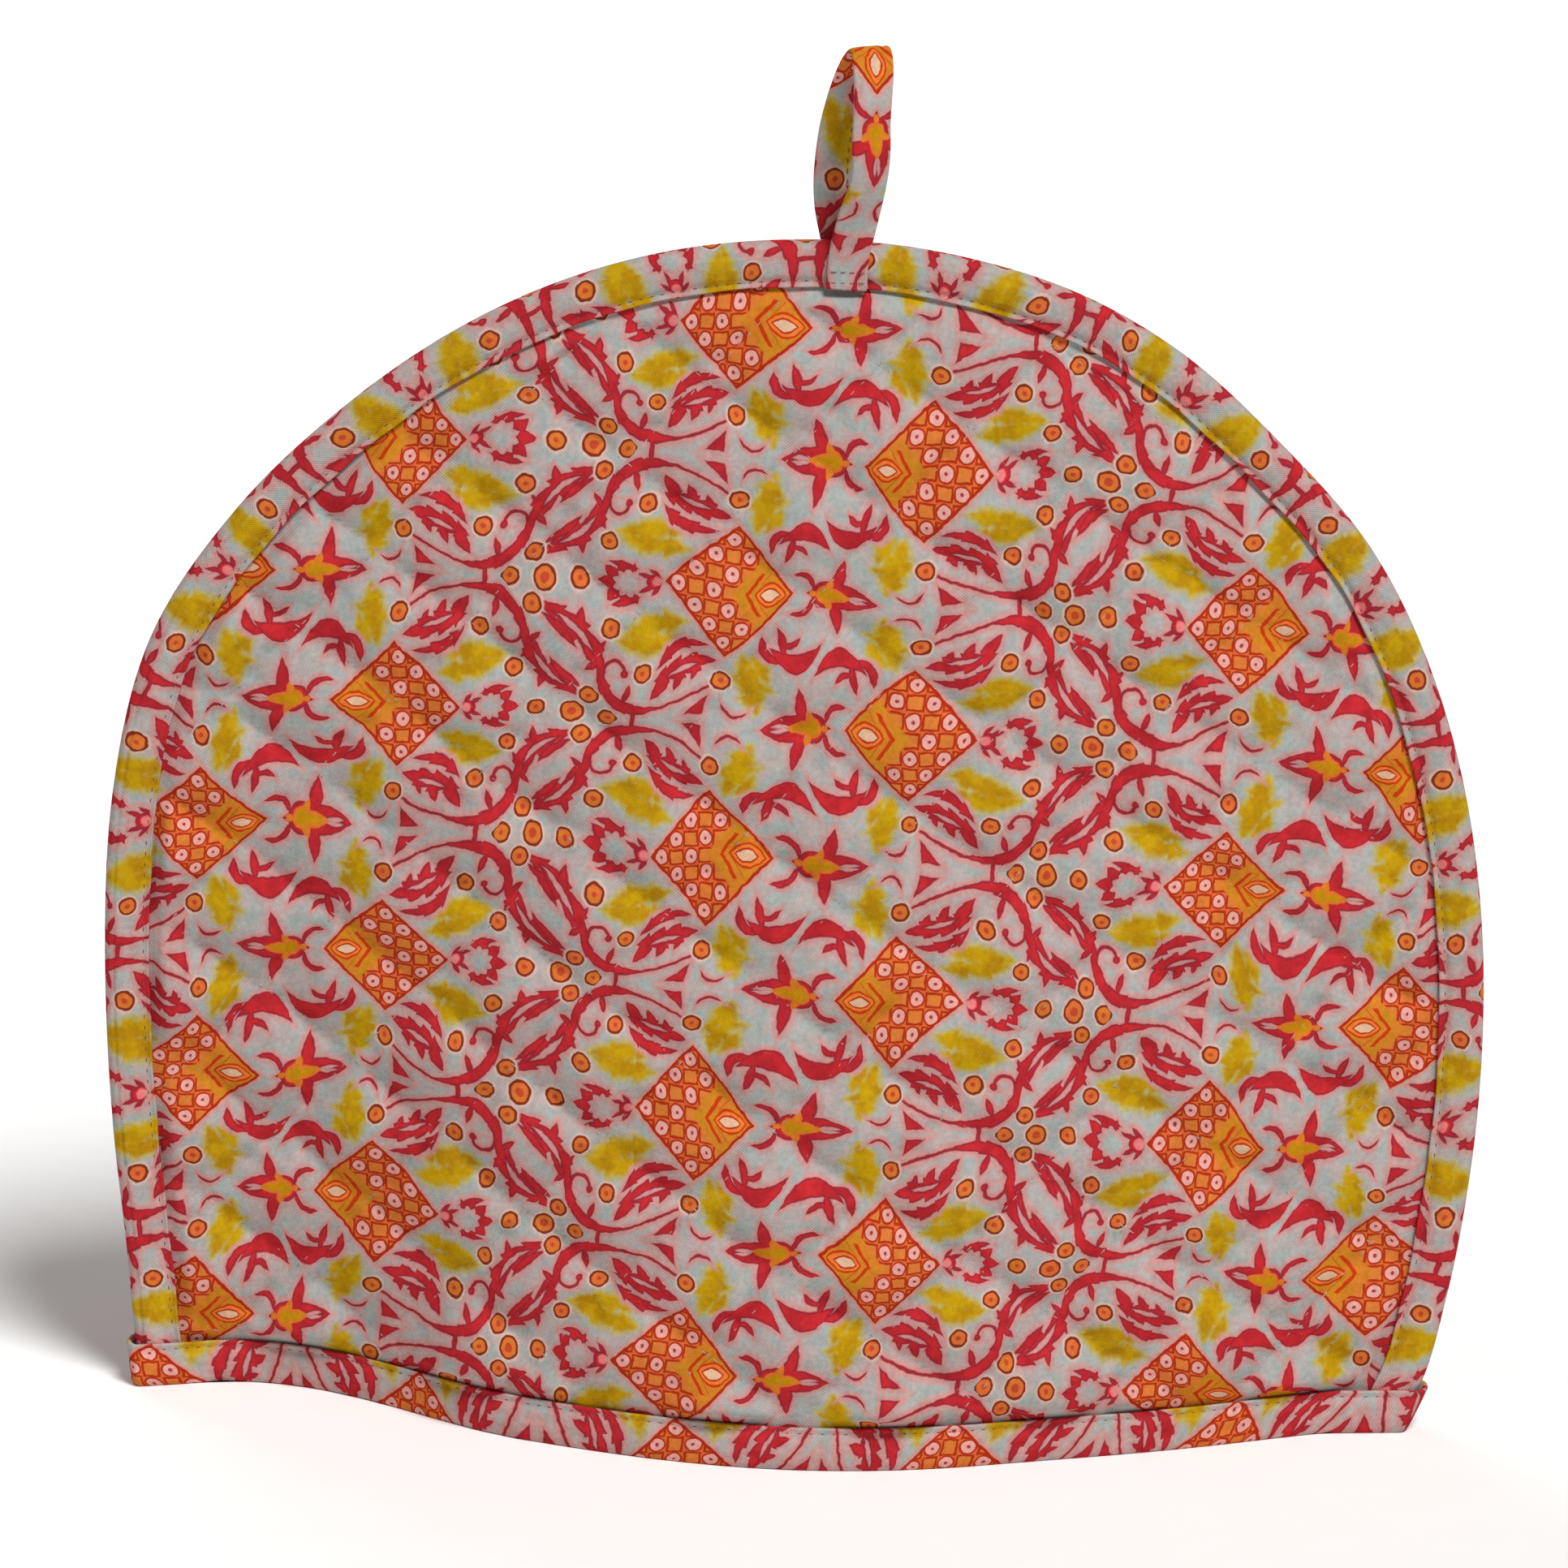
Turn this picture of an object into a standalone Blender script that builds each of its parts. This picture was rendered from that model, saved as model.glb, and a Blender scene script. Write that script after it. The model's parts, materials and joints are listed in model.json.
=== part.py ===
"""Tea cosy, standing on its hem: two quilted panels are sewn flat together round the arch inside a
folded edge binding, stand apart below it, are bound round the mouth by a second strip, and carry a
hanging loop at the top.

Metres, +Z up. The front faces -Y, +X is to its right, and the hem stands on Z = 0."""

import bmesh
import bpy
import numpy as np
from mathutils import Vector
from mathutils.geometry import delaunay_2d_cdt

APEX_HEIGHT = 0.272  # top of the arch, under the loop
# The arch's outer edge: how far it reaches to each side of the middle, by height.
ARCH = (
    # (height, left, right)
    (0.0000, 0.1428, 0.1385),
    (0.0120, 0.1445, 0.1436),
    (0.0300, 0.1465, 0.1478),
    (0.0600, 0.1504, 0.1521),
    (0.1000, 0.1532, 0.1535),
    (0.1400, 0.1523, 0.1494),
    (0.1750, 0.1449, 0.1397),
    (0.2050, 0.1269, 0.1245),
    (0.2300, 0.1033, 0.1022),
    (0.2500, 0.0769, 0.0791),
    (0.2630, 0.0502, 0.0542),
    (0.2693, 0.0274, 0.0311),
    (APEX_HEIGHT, -0.0031, 0.0031),
)
ARCH_STEPS = 160  # points of the outline that distances are measured from

BAND = 0.010  # width of both bindings
FOLD = 0.001  # thickness of a binding's folded strip
GAP = 0.0003  # between touching pieces
PRESSED = 0.0015  # a panel's thickness where it is squeezed in a seam
LOFT = 0.0006  # what its wadding adds along a quilting line
PUFF_OUT = 0.0032  # how far a quilted square swells outward
PUFF_IN = 0.0012  # and inward

MOUTH = 0.041  # how far each panel stands out from the middle at the hem
MOUTH_LEAN = 0.05  # how far its fullest place is off the middle, as a share of the half width
MOUTH_SHAPE = 1.5  # power of the cosine across a panel
FALL_SHAPE = 1.6  # power with which the opening closes toward the top
# Places where the whole mouth swings to the back (positive) or to the front.
SWINGS = (
    # (across, half_length, depth)
    (-0.106, 0.050, 0.0100),
    (0.101, 0.055, -0.0045),
)
SWING_SHAPE = 2.0  # power with which the swings fade toward the top
ROUNDS = 12  # in which a place across the cloth is turned back into a place across the cosy

QUILT_SIDE = 0.0254  # side of one quilted diamond
QUILT_DOWN = np.radians(-33.4)  # direction of the lines that fall to the right
QUILT_UP = np.radians(47.8)  # direction of the lines that rise to the right
QUILT_ORIGIN = (0.0308, 0.1147)  # a crossing of two quilting lines, across and up
QUILT_PARTS = 3  # mesh steps along one side of a diamond
PUFF_SHAPE = 0.6  # below 1, a square is flat on top and steep at its seams
PUFF_FADE = 0.007  # the wadding reaches its loft this far from a binding

HEM_CLEAR = 0.0005  # play between the hem strip and what it wraps
HEM_TIP = 0.013  # how far the hem strip's inner side ends short of the side seams
HEM_ROUND = 0.002  # length over which its ends close
HEM_RAMP = (0.010, 0.0035)  # inside the side seams, where it starts and ends rising over the edge binding
HEM_STEPS = 32  # stations along one side of the mouth

ARCH_STATIONS = 72
LOOP_WIDTH = 0.009
LOOP_THICK = 0.0017
LOOP_STEPS = 44
# The loop's centreline from its front end over the top to its back end, and its width's turn.
LOOP = (
    # (across, back, height, turn in degrees)
    (0.0065, -0.0042, 0.2622, 0),
    (0.0068, -0.0042, 0.2700, 0),
    (0.0085, -0.0062, 0.2790, 12),
    (0.0107, -0.0092, 0.2900, 24),
    (0.0108, -0.0088, 0.3015, 24),
    (0.0108, -0.0048, 0.3118, 24),
    (0.0098, 0.0010, 0.3158, 24),
    (0.0068, 0.0056, 0.3098, 24),
    (0.0040, 0.0086, 0.2985, 24),
    (0.0028, 0.0084, 0.2880, 24),
    (0.0032, 0.0062, 0.2785, 12),
    (0.0052, 0.0042, 0.2700, 0),
    (0.0058, 0.0042, 0.2622, 0),
)

COLORS = {
    # node: (red, green, blue)
    "front_panel": (0.68, 0.36, 0.27),
    "back_panel": (0.64, 0.34, 0.26),
    "edge_binding": (0.62, 0.22, 0.20),
    "hem_binding": (0.66, 0.27, 0.20),
    "hanging_loop": (0.72, 0.40, 0.14),
}
COTTON_ROUGHNESS = 0.9
CREASE_ANGLE = np.radians(50)  # edges sharper than this are shaded sharp


# ---- the outline -------------------------------------------------------------------------------


def smooth(where, knots, values):
    """A smooth curve through (knots, values): cubics whose slopes come from each knot's neighbours."""
    slopes = np.gradient(values, knots)
    k = np.clip(np.searchsorted(knots, where, side="right") - 1, 0, len(knots) - 2)
    step = knots[k + 1] - knots[k]
    u = (where - knots[k]) / step
    start = values[k] * (1 + 2 * u) * (1 - u) ** 2 + slopes[k] * step * u * (1 - u) ** 2
    end = values[k + 1] * u**2 * (3 - 2 * u) + slopes[k + 1] * step * u**2 * (u - 1)
    return start + end


def rise(height):
    """0 at the hem and 1 at the apex, spaced so that the arch's half width closes evenly."""
    return 1 - np.sqrt(1 - np.clip(height / APEX_HEIGHT, 0, 1))


def arch_reach(height):
    """How far the outer edge reaches to the left and to the right at a height."""
    table = np.array(ARCH)
    knots = rise(table[:, 0])
    t = rise(np.asarray(height, float))
    return smooth(t, knots, table[:, 1]), smooth(t, knots, table[:, 2])


def arch_line(steps, inward=0.0):
    """Points (across, height) from the left hem over the top to the right hem, evenly spaced,
    moved inward from the outer edge, and the inward directions there."""
    t = np.linspace(0, 1, 4 * steps)
    height = APEX_HEIGHT * (1 - (1 - t) ** 2)
    left, right = arch_reach(height)
    across = np.concatenate([-left, right[::-1][1:]])
    height = np.concatenate([height, height[::-1][1:]])
    run = np.concatenate([[0], np.cumsum(np.hypot(np.diff(across), np.diff(height)))])
    even = np.linspace(0, run[-1], steps + 1)
    points = np.stack([np.interp(even, run, across), np.interp(even, run, height)], axis=1)
    along = np.gradient(points, axis=0)
    along /= np.linalg.norm(along, axis=1)[:, None]
    into = np.stack([along[:, 1], -along[:, 0]], axis=1)
    return points + into * inward, into


def edge_distance(across, height):
    """Distance in the X-Z plane to the arch's outer edge."""
    line, _ = arch_line(ARCH_STEPS)
    start, step = line[:-1], np.diff(line, axis=0)
    place = np.stack([np.ravel(across), np.ravel(height)], axis=1)[:, None]
    share = ((place - start) * step).sum(2) / (step**2).sum(1)
    nearest = start + np.clip(share, 0, 1)[:, :, None] * step
    return np.linalg.norm(place - nearest, axis=2).min(1).reshape(np.shape(across))


# ---- the cloth's form --------------------------------------------------------------------------


def seam_sides(height):
    """Where the side seams run at a height, left and right: the arch moved in by the binding."""
    line, _ = arch_line(ARCH_STEPS, BAND)
    top = line[:, 1].argmax()
    left = np.interp(height, line[: top + 1, 1], line[: top + 1, 0])
    right = np.interp(height, line[top:, 1][::-1], line[top:, 0][::-1])
    return left, np.maximum(right, left + GAP)


def closing(height):
    """1 at the hem, falling to 0 where the seam crosses the top."""
    return 1 - np.clip(height / (APEX_HEIGHT - BAND), 0, 1) ** FALL_SHAPE


def share_across(across, height, side):
    """-1 to 1 between the side seams, with 0 at a panel's fullest place. side is 1 in front."""
    left, right = seam_sides(height)
    share = np.clip((2 * across - left - right) / (right - left), -1, 1)
    return share - side * MOUTH_LEAN * (1 - share**2)


def opening(across, height, side):
    """How far a panel stands out from the middle."""
    share = share_across(across, height, side)
    return MOUTH * closing(height) * np.cos(np.pi / 2 * share).clip(0) ** MOUTH_SHAPE


def swing(across, height):
    """Y of the surface midway between the panels, which carries the mouth's bends."""
    total = np.zeros(np.shape(across))
    for middle, half, depth in SWINGS:
        u = np.clip((across - middle) / half, -1, 1)
        total = total + depth * np.cos(np.pi / 2 * u) ** 2
    return total * (1 - np.clip(height / APEX_HEIGHT, 0, 1)) ** SWING_SHAPE


def cloth_across(across, height, side):
    """Distance across measured on the cloth: the arc adds the sum of half its squared slope, which
    for this cosine grows as the cubed sine."""
    left, right = seam_sides(height)
    arc = 2 * (MOUTH * closing(height)) ** 2 / (right - left) * MOUTH_SHAPE**2 * np.pi / 12
    turn = np.sin(np.pi / 2 * share_across(across, height, side))
    return across + np.where(closing(height) > 0, arc, 0) * turn**3


def quilt_sides():
    """The two sides of one quilted diamond, as vectors across and up the cloth."""
    turns = np.array([QUILT_DOWN, QUILT_UP])
    return QUILT_SIDE * np.stack([np.cos(turns), np.sin(turns)], axis=1)


def puff(cloth_x, cloth_z):
    """0 on the quilting lines and 1 in the middle of each diamond."""
    place = np.stack([cloth_x - QUILT_ORIGIN[0], cloth_z - QUILT_ORIGIN[1]], axis=-1)
    squares = place @ np.linalg.inv(quilt_sides())
    return np.abs(np.sin(np.pi * squares)).prod(axis=-1) ** PUFF_SHAPE


def eased(distance, length):
    """0 up to 1 over a length, with level ends."""
    u = np.clip(distance / length, 0, 1)
    return u * u * (3 - 2 * u)


def layers(across, height, side):
    """Distances of a panel's inner and outer face from the middle surface."""
    inside = edge_distance(across, height) - BAND - GAP
    loft = eased(inside, PUFF_FADE) * eased(height - BAND - GAP, PUFF_FADE)
    lift = loft * puff(cloth_across(across, height, side), height)
    out = opening(across, height, side)
    inner = GAP / 2 + np.maximum(out - PUFF_IN * lift, 0)
    outer = GAP / 2 + out + PRESSED + LOFT * loft + PUFF_OUT * lift
    return inner, outer


# ---- meshes ------------------------------------------------------------------------------------


def add_part(name, bm):
    """Makes the bmesh an object with its own cotton, in the cosy's collection."""
    bmesh.ops.recalc_face_normals(bm, faces=bm.faces)
    mesh = bpy.data.meshes.new(name)
    bm.to_mesh(mesh)
    bm.free()
    mesh.shade_smooth()
    mesh.set_sharp_from_angle(angle=CREASE_ANGLE)
    material = bpy.data.materials.new(name)
    material.use_nodes = True
    shader = material.node_tree.nodes["Principled BSDF"]
    shader.inputs["Base Color"].default_value = (*COLORS[name], 1)
    shader.inputs["Roughness"].default_value = COTTON_ROUGHNESS
    shader.inputs["Metallic"].default_value = 0
    mesh.materials.append(material)
    part = bpy.data.objects.new(name, mesh)
    bpy.data.collections["tea_cosy"].objects.link(part)
    return part


def panel_ring(inward, floor):
    """A closed outline (across, height) of a panel: the arch moved in, then back along the floor."""
    line, _ = arch_line(ARCH_STATIONS, inward)
    left, right = [np.interp(floor, end[:3, 1], end[:3, 0]) for end in (line, line[::-1])]
    line = line[line[:, 1] > floor + GAP]
    count = int((right - left) / (QUILT_SIDE / QUILT_PARTS))
    base = np.linspace(right, left, count + 1)
    floor_points = np.stack([base, np.full(count + 1, floor)], axis=1)
    return np.concatenate([line, floor_points])


def quilt_nodes(side, ring_gap):
    """Points on the quilting lines and between them, inside the bindings, as (across, height)."""
    reach = int(QUILT_PARTS * 2 * APEX_HEIGHT / QUILT_SIDE)
    i, j = np.meshgrid(np.arange(-reach, reach), np.arange(-reach, reach))
    steps = np.stack([i.ravel(), j.ravel()], axis=1) / QUILT_PARTS
    cloth = np.array(QUILT_ORIGIN) + steps @ quilt_sides()
    cloth = cloth[(cloth[:, 1] > BAND + ring_gap) & (cloth[:, 1] < APEX_HEIGHT - BAND)]
    across, height = cloth.T.copy()
    for _ in range(ROUNDS):
        across = cloth[:, 0] - (cloth_across(across, height, side) - across)
    left, right = seam_sides(height)
    inside = (across > left) & (across < right)
    across, height = across[inside], height[inside]
    clear = edge_distance(across, height) > BAND + ring_gap
    return np.stack([across[clear], height[clear]], axis=1)


def make_panel(name, side):
    """A quilted panel: a triangulation that follows the quilting lines, made on the flat, laid on
    the outer and the inner face, and closed round its rim."""
    rim = panel_ring(FOLD + 2 * GAP, FOLD + GAP)
    seam = panel_ring(BAND + GAP, BAND + GAP)
    nodes = quilt_nodes(side, QUILT_SIDE / QUILT_PARTS / 3)
    flat = np.concatenate([rim, seam, nodes])
    loops = [(0, len(rim)), (len(rim), len(rim) + len(seam))]
    edges = [(k, k + 1 if k + 1 < end else start) for start, end in loops for k in range(start, end)]
    found = delaunay_2d_cdt([Vector(p) for p in flat], edges, [], 1, GAP / 10)
    across, height = np.array(found[0]).T
    faces = found[2]
    corner = {old: new for new, olds in enumerate(found[3]) for old in olds}
    around = [corner[k] for k in range(len(rim))]
    inner, outer = layers(across, height, side)
    middle = swing(across, height)
    bm = bmesh.new()
    sheets = []
    for distance in (outer, inner):
        y = middle - side * distance
        sheets.append([bm.verts.new(p) for p in np.stack([across, y, height], axis=1)])
    for sheet in sheets:
        for face in faces:
            bm.faces.new([sheet[k] for k in face])
    for a, b in zip(around, around[1:] + around[:1]):
        bm.faces.new([sheets[0][a], sheets[0][b], sheets[1][b], sheets[1][a]])
    return add_part(name, bm)


def loft(bm, rings, closed):
    """Joins equal rings of points by quads, and returns the rings' vertices."""
    made = [[bm.verts.new(p) for p in ring] for ring in rings]
    pairs = list(zip(made, made[1:])) + ([(made[-1], made[0])] if closed else [])
    for one, two in pairs:
        for k in range(len(one)):
            m = (k + 1) % len(one)
            bm.faces.new([one[k], one[m], two[m], two[k]])
    return made


def make_edge_binding():
    """The strip folded over both panels' edges: a U section carried round the arch."""
    line, into = arch_line(ARCH_STATIONS)
    hold = GAP / 2 + PRESSED + GAP  # half of what the strip wraps
    face = hold + FOLD
    # (inward, out): the section from the front lip round the edge to the back lip and back inside
    section = np.array(
        [
            (BAND, -face),
            (2 * FOLD, -face),
            (0, -face / 2),
            (0, face / 2),
            (2 * FOLD, face),
            (BAND, face),
            (BAND, hold),
            (FOLD, hold),
            (FOLD, -hold),
            (BAND, -hold),
        ]
    )
    # both ends are cut level, just above the hem strip's sole
    foot = FOLD + GAP
    left, right = arch_reach(foot)
    line[0], line[-1] = (-left, foot), (right, foot)
    into[0], into[-1] = (1 / into[0, 0], 0), (1 / into[-1, 0], 0)
    rings = []
    for place, inward in zip(line, into):
        flat = place + section[:, :1] * inward
        y = swing(flat[:, 0], flat[:, 1]) + section[:, 1]
        rings.append(np.stack([flat[:, 0], y, flat[:, 1]], axis=1))
    bm = bmesh.new()
    made = loft(bm, rings, closed=False)
    for end in (made[0], made[-1]):
        for cap in ((0, 1, 8, 9), (1, 2, 3, 4, 7, 8), (4, 5, 6, 7)):
            bm.faces.new([end[k] for k in cap])
    return add_part("edge_binding", bm)


def mouth_loop(height, end_inset, distance):
    """A closed loop round the mouth at one height, as points. distance(across, height, side) is how
    far it stands from the middle, and it closes roundly at end_inset from the arch's outer edge."""
    left, right = arch_reach(height)
    low, high = -left + end_inset, right - end_inset
    across = (low + high) / 2 + (high - low) / 2 * np.sin(
        np.linspace(-np.pi / 2, np.pi / 2, HEM_STEPS + 1)
    )
    to_end = np.minimum(across - low, high - across)
    rounding = np.sqrt(1 - (1 - np.clip(to_end / HEM_ROUND, 0, 1)) ** 2)
    middle = swing(across, height)
    loop = []
    for side, order in ((1, slice(None, -1)), (-1, slice(None, 0, -1))):
        y = middle - side * distance(across, height, side) * rounding
        loop.append(np.stack([across, y, np.full(len(across), height)], axis=1)[order])
    return np.concatenate(loop)


def make_hem_binding():
    """The strip round the mouth: an outer side, a flat sole and an inner side, carried round both
    panels and over the lower ends of the edge binding."""

    def outside(play):
        def distance(across, height, side):
            panel = GAP / 2 + opening(across, height, side) + PRESSED
            left, right = seam_sides(height)
            near_seam = HEM_RAMP[0] - np.minimum(across - left, right - across)
            bound = GAP / 2 + PRESSED + GAP + FOLD
            more = np.maximum(bound - panel, 0) * eased(near_seam, HEM_RAMP[0] - HEM_RAMP[1])
            return play + panel + more

        return distance

    def within(play):
        return lambda across, height, side: GAP / 2 + opening(across, height, side) - play

    tip = BAND + HEM_TIP
    loops = [
        # (height, end inset, distance)
        (0, -2 * FOLD, outside(HEM_CLEAR + FOLD)),
        (BAND, -2 * FOLD, outside(HEM_CLEAR + FOLD)),
        (BAND, -FOLD, outside(HEM_CLEAR)),
        (FOLD, -FOLD, outside(HEM_CLEAR)),
        (FOLD, tip, within(HEM_CLEAR)),
        (BAND, tip, within(HEM_CLEAR)),
        (BAND, tip + FOLD, within(HEM_CLEAR + FOLD)),
        (0, tip + FOLD, within(HEM_CLEAR + FOLD)),
    ]
    rails = [mouth_loop(*row) for row in loops]
    bm = bmesh.new()
    loft(bm, np.stack(rails, axis=1), closed=True)
    return add_part("hem_binding", bm)


def make_hanging_loop():
    """A folded strip, its ends sewn to the front and the back of the edge binding."""
    table = np.array(LOOP)
    knots = np.arange(len(table), dtype=float)
    t = np.linspace(0, knots[-1], LOOP_STEPS + 1)
    centre = np.stack([smooth(t, knots, table[:, k]) for k in range(3)], axis=1)
    turn = np.radians(smooth(t, knots, table[:, 3]))
    width = np.stack([np.cos(turn), np.sin(turn), np.zeros(len(t))], axis=1)
    along = np.gradient(centre, axis=0)
    along /= np.linalg.norm(along, axis=1)[:, None]
    width -= (width * along).sum(1)[:, None] * along
    width /= np.linalg.norm(width, axis=1)[:, None]
    out = np.cross(along, width)
    w, h, bevel = LOOP_WIDTH / 2, LOOP_THICK / 2, LOOP_THICK / 4
    section = [(-w, bevel - h), (bevel - w, -h), (w - bevel, -h), (w, bevel - h)]
    section += [(-x, -y) for x, y in section]
    rings = [[c + a * x + b * y for x, y in section] for c, a, b in zip(centre, width, out)]
    bm = bmesh.new()
    made = loft(bm, rings, closed=False)
    for end in (made[0], made[-1]):
        bm.faces.new(end)
    return add_part("hanging_loop", bm)


def main():
    for old in list(bpy.data.objects):
        bpy.data.objects.remove(old, do_unlink=True)
    collection = bpy.data.collections.new("tea_cosy")
    bpy.context.scene.collection.children.link(collection)
    make_panel("front_panel", 1)
    make_panel("back_panel", -1)
    make_edge_binding()
    make_hem_binding()
    make_hanging_loop()


main()
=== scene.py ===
# %% [markdown]
# # A quilted tea cosy
#
# A tea cosy is a padded cap that keeps a teapot warm. This one is flat when it is put away: two
# quilted panels are sewn together round an arch, a folded strip binds that edge, a second strip
# binds the open mouth, and a short loop at the top hangs it on a hook. Here it stands on its hem,
# with the mouth opened as if a pot were inside.
#
# The CAD model gives the solids. This script dresses them: it makes each cloth again as a fine
# surface with its quilting, puckers and stitches, and prints the cotton with its pattern.

import json

import bpy
import numpy as np
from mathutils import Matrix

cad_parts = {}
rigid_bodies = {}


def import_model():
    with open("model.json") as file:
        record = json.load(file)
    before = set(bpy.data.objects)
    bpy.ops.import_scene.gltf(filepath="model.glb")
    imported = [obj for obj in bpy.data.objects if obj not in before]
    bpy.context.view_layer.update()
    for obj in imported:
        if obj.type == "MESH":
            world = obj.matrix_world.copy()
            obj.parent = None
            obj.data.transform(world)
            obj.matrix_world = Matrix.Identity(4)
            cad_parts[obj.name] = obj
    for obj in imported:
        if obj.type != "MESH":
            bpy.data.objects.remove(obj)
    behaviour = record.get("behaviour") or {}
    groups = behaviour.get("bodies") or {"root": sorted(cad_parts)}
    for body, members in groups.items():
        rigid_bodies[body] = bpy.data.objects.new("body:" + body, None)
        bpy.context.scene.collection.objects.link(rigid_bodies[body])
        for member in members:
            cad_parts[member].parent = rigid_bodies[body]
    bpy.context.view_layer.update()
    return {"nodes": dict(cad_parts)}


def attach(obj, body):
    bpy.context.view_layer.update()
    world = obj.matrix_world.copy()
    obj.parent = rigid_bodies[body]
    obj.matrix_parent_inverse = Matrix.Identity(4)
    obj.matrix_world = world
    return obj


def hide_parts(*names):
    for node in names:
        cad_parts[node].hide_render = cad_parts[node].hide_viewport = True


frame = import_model()
print("nodes:", sorted(frame["nodes"]))

# %% [markdown]
# ## The shape on the flat
#
# Everything starts from the outline of the cosy laid flat: how far the arch reaches to the left and
# to the right at each height. A real cosy is cut with scissors round a paper pattern, so the two
# sides differ by a millimetre or two, and the table keeps that. A cubic curve through the rows is
# smoother than straight pieces and needs only these few numbers.

# %% Outline of the arch
APEX_HEIGHT = 0.272  # top of the arch, under the loop
ARCH = np.array(
    [
        # (height, left, right)
        (0.0000, 0.1428, 0.1385),
        (0.0120, 0.1445, 0.1436),
        (0.0300, 0.1465, 0.1478),
        (0.0600, 0.1504, 0.1521),
        (0.1000, 0.1532, 0.1535),
        (0.1400, 0.1523, 0.1494),
        (0.1750, 0.1449, 0.1397),
        (0.2050, 0.1269, 0.1245),
        (0.2300, 0.1033, 0.1022),
        (0.2500, 0.0769, 0.0791),
        (0.2630, 0.0502, 0.0542),
        (0.2693, 0.0274, 0.0311),
        (APEX_HEIGHT, -0.0031, 0.0031),
    ]
)
ARCH_STEPS = 160  # straight pieces from which distances to the edge are measured


def unit(vectors):
    """The vectors made one long."""
    return vectors / np.linalg.norm(vectors, axis=-1, keepdims=True)


def smooth(where, knots, values):
    """A cubic through (knots, values). Between two knots it mixes their values and slopes, and each
    slope comes from the neighbouring knots."""
    slopes = np.gradient(values, knots)
    k = np.clip(np.searchsorted(knots, where, side="right") - 1, 0, len(knots) - 2)
    step = knots[k + 1] - knots[k]
    u = (where - knots[k]) / step
    start = values[k] * (1 + 2 * u) * (1 - u) ** 2 + slopes[k] * step * u * (1 - u) ** 2
    end = values[k + 1] * u**2 * (3 - 2 * u) + slopes[k + 1] * step * u**2 * (u - 1)
    return start + end


def rise(height):
    """0 at the hem and 1 at the apex: one minus the root of what is left to climb, so that equal
    steps close the dome evenly."""
    return 1 - np.sqrt(1 - np.clip(height / APEX_HEIGHT, 0, 1))


def arch_reach(height):
    """How far the outer edge reaches to the left and to the right at a height."""
    t = rise(np.asarray(height, float))
    knots = rise(ARCH[:, 0])
    return smooth(t, knots, ARCH[:, 1]), smooth(t, knots, ARCH[:, 2])


def run_along(points):
    """Distance along a line of points from its first one: the lengths of its steps, added up."""
    return np.concatenate([[0], np.cumsum(np.linalg.norm(np.diff(points, axis=0), axis=1))])


def at_run(where, run, points):
    """Points at distances along a line, on the straight between its own points."""
    return np.stack([np.interp(where, run, column) for column in points.T], axis=-1)


def arch_line(steps, inward=0.0, foot=0.0):
    """Points (across, height) from the left hem over the top to the right hem, evenly spaced along
    the edge and moved inward from it, and the inward directions there."""
    t = np.linspace(rise(foot), 1, 4 * steps)
    height = APEX_HEIGHT * (1 - (1 - t) ** 2)
    left, right = arch_reach(height)
    across = np.concatenate([-left, right[::-1][1:]])
    height = np.concatenate([height, height[::-1][1:]])
    line = np.stack([across, height], axis=1)
    run = run_along(line)
    points = at_run(np.linspace(0, run[-1], steps + 1), run, line)
    along = unit(np.gradient(points, axis=0))
    into = np.stack([along[:, 1], -along[:, 0]], axis=1)
    return points + into * inward, into


def sides_at(height, inward):
    """Where the outline moved inward runs at a height, on the left and on the right."""
    line, _ = arch_line(ARCH_STEPS, inward)
    top = line[:, 1].argmax()
    left = np.interp(height, line[: top + 1, 1], line[: top + 1, 0])
    right = np.interp(height, line[top:, 1][::-1], line[top:, 0][::-1])
    return left, right


def edge_distance(across, height):
    """Distance in the flat to the outer edge: the least over its straight pieces."""
    line, _ = arch_line(ARCH_STEPS)
    least = np.full(np.shape(across), np.inf)
    for (x, z), (dx, dz) in zip(line[:-1], np.diff(line, axis=0)):
        share = np.clip(((across - x) * dx + (height - z) * dz) / (dx * dx + dz * dz), 0, 1)
        least = np.minimum(least, np.hypot(across - x - share * dx, height - z - share * dz))
    return least


edge, _ = arch_line(ARCH_STEPS)
edge_length = run_along(edge)[-1]
print(f"arch: {np.ptp(edge[:, 0]) * 1000:.1f} mm wide, {edge_length * 1000:.0f} mm round the edge")

# %% [markdown]
# ## The stand of the cloth
#
# The side seams hold the two panels together, and between them each panel bows outward: most at the
# hem, nothing where the seam crosses the top. A cosine across and a power of the height give that
# bow. The open mouth isn't an even oval. It swings back near its left corner and forward near its
# right one, because soft cloth standing on its edge never stays straight.

# %% The bow of the panels
BAND = 0.010  # width of both bindings
FOLD = 0.001  # thickness of a binding's folded strip
GAP = 0.0003  # between touching pieces
PRESSED = 0.0015  # a panel's thickness where a seam squeezes it
THINNEST = 0.8  # what a panel keeps of that thickness everywhere
MOUTH = 0.041  # how far each panel stands out from the middle at the hem
MOUTH_LEAN = 0.05  # how far its fullest place is off the middle, as a share of the half width
MOUTH_SHAPE = 1.5  # power of the cosine across a panel
FALL_SHAPE = 1.6  # power with which the opening closes toward the top
SWINGS = (
    # (across, half_length, depth): the mouth swings back where the depth is positive
    (-0.106, 0.050, 0.0100),
    (0.101, 0.055, -0.0045),
)
SWING_SHAPE = 2.0  # power with which the swings fade toward the top


def eased(distance, length):
    """0 up to 1 over a length, with level ends: three squares less two cubes."""
    u = np.clip(distance / length, 0, 1)
    return u * u * (3 - 2 * u)


def seam_sides(height):
    """Where the side seams run at a height: the arch moved in by the binding."""
    left, right = sides_at(height, BAND)
    return left, np.maximum(right, left + GAP)


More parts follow.
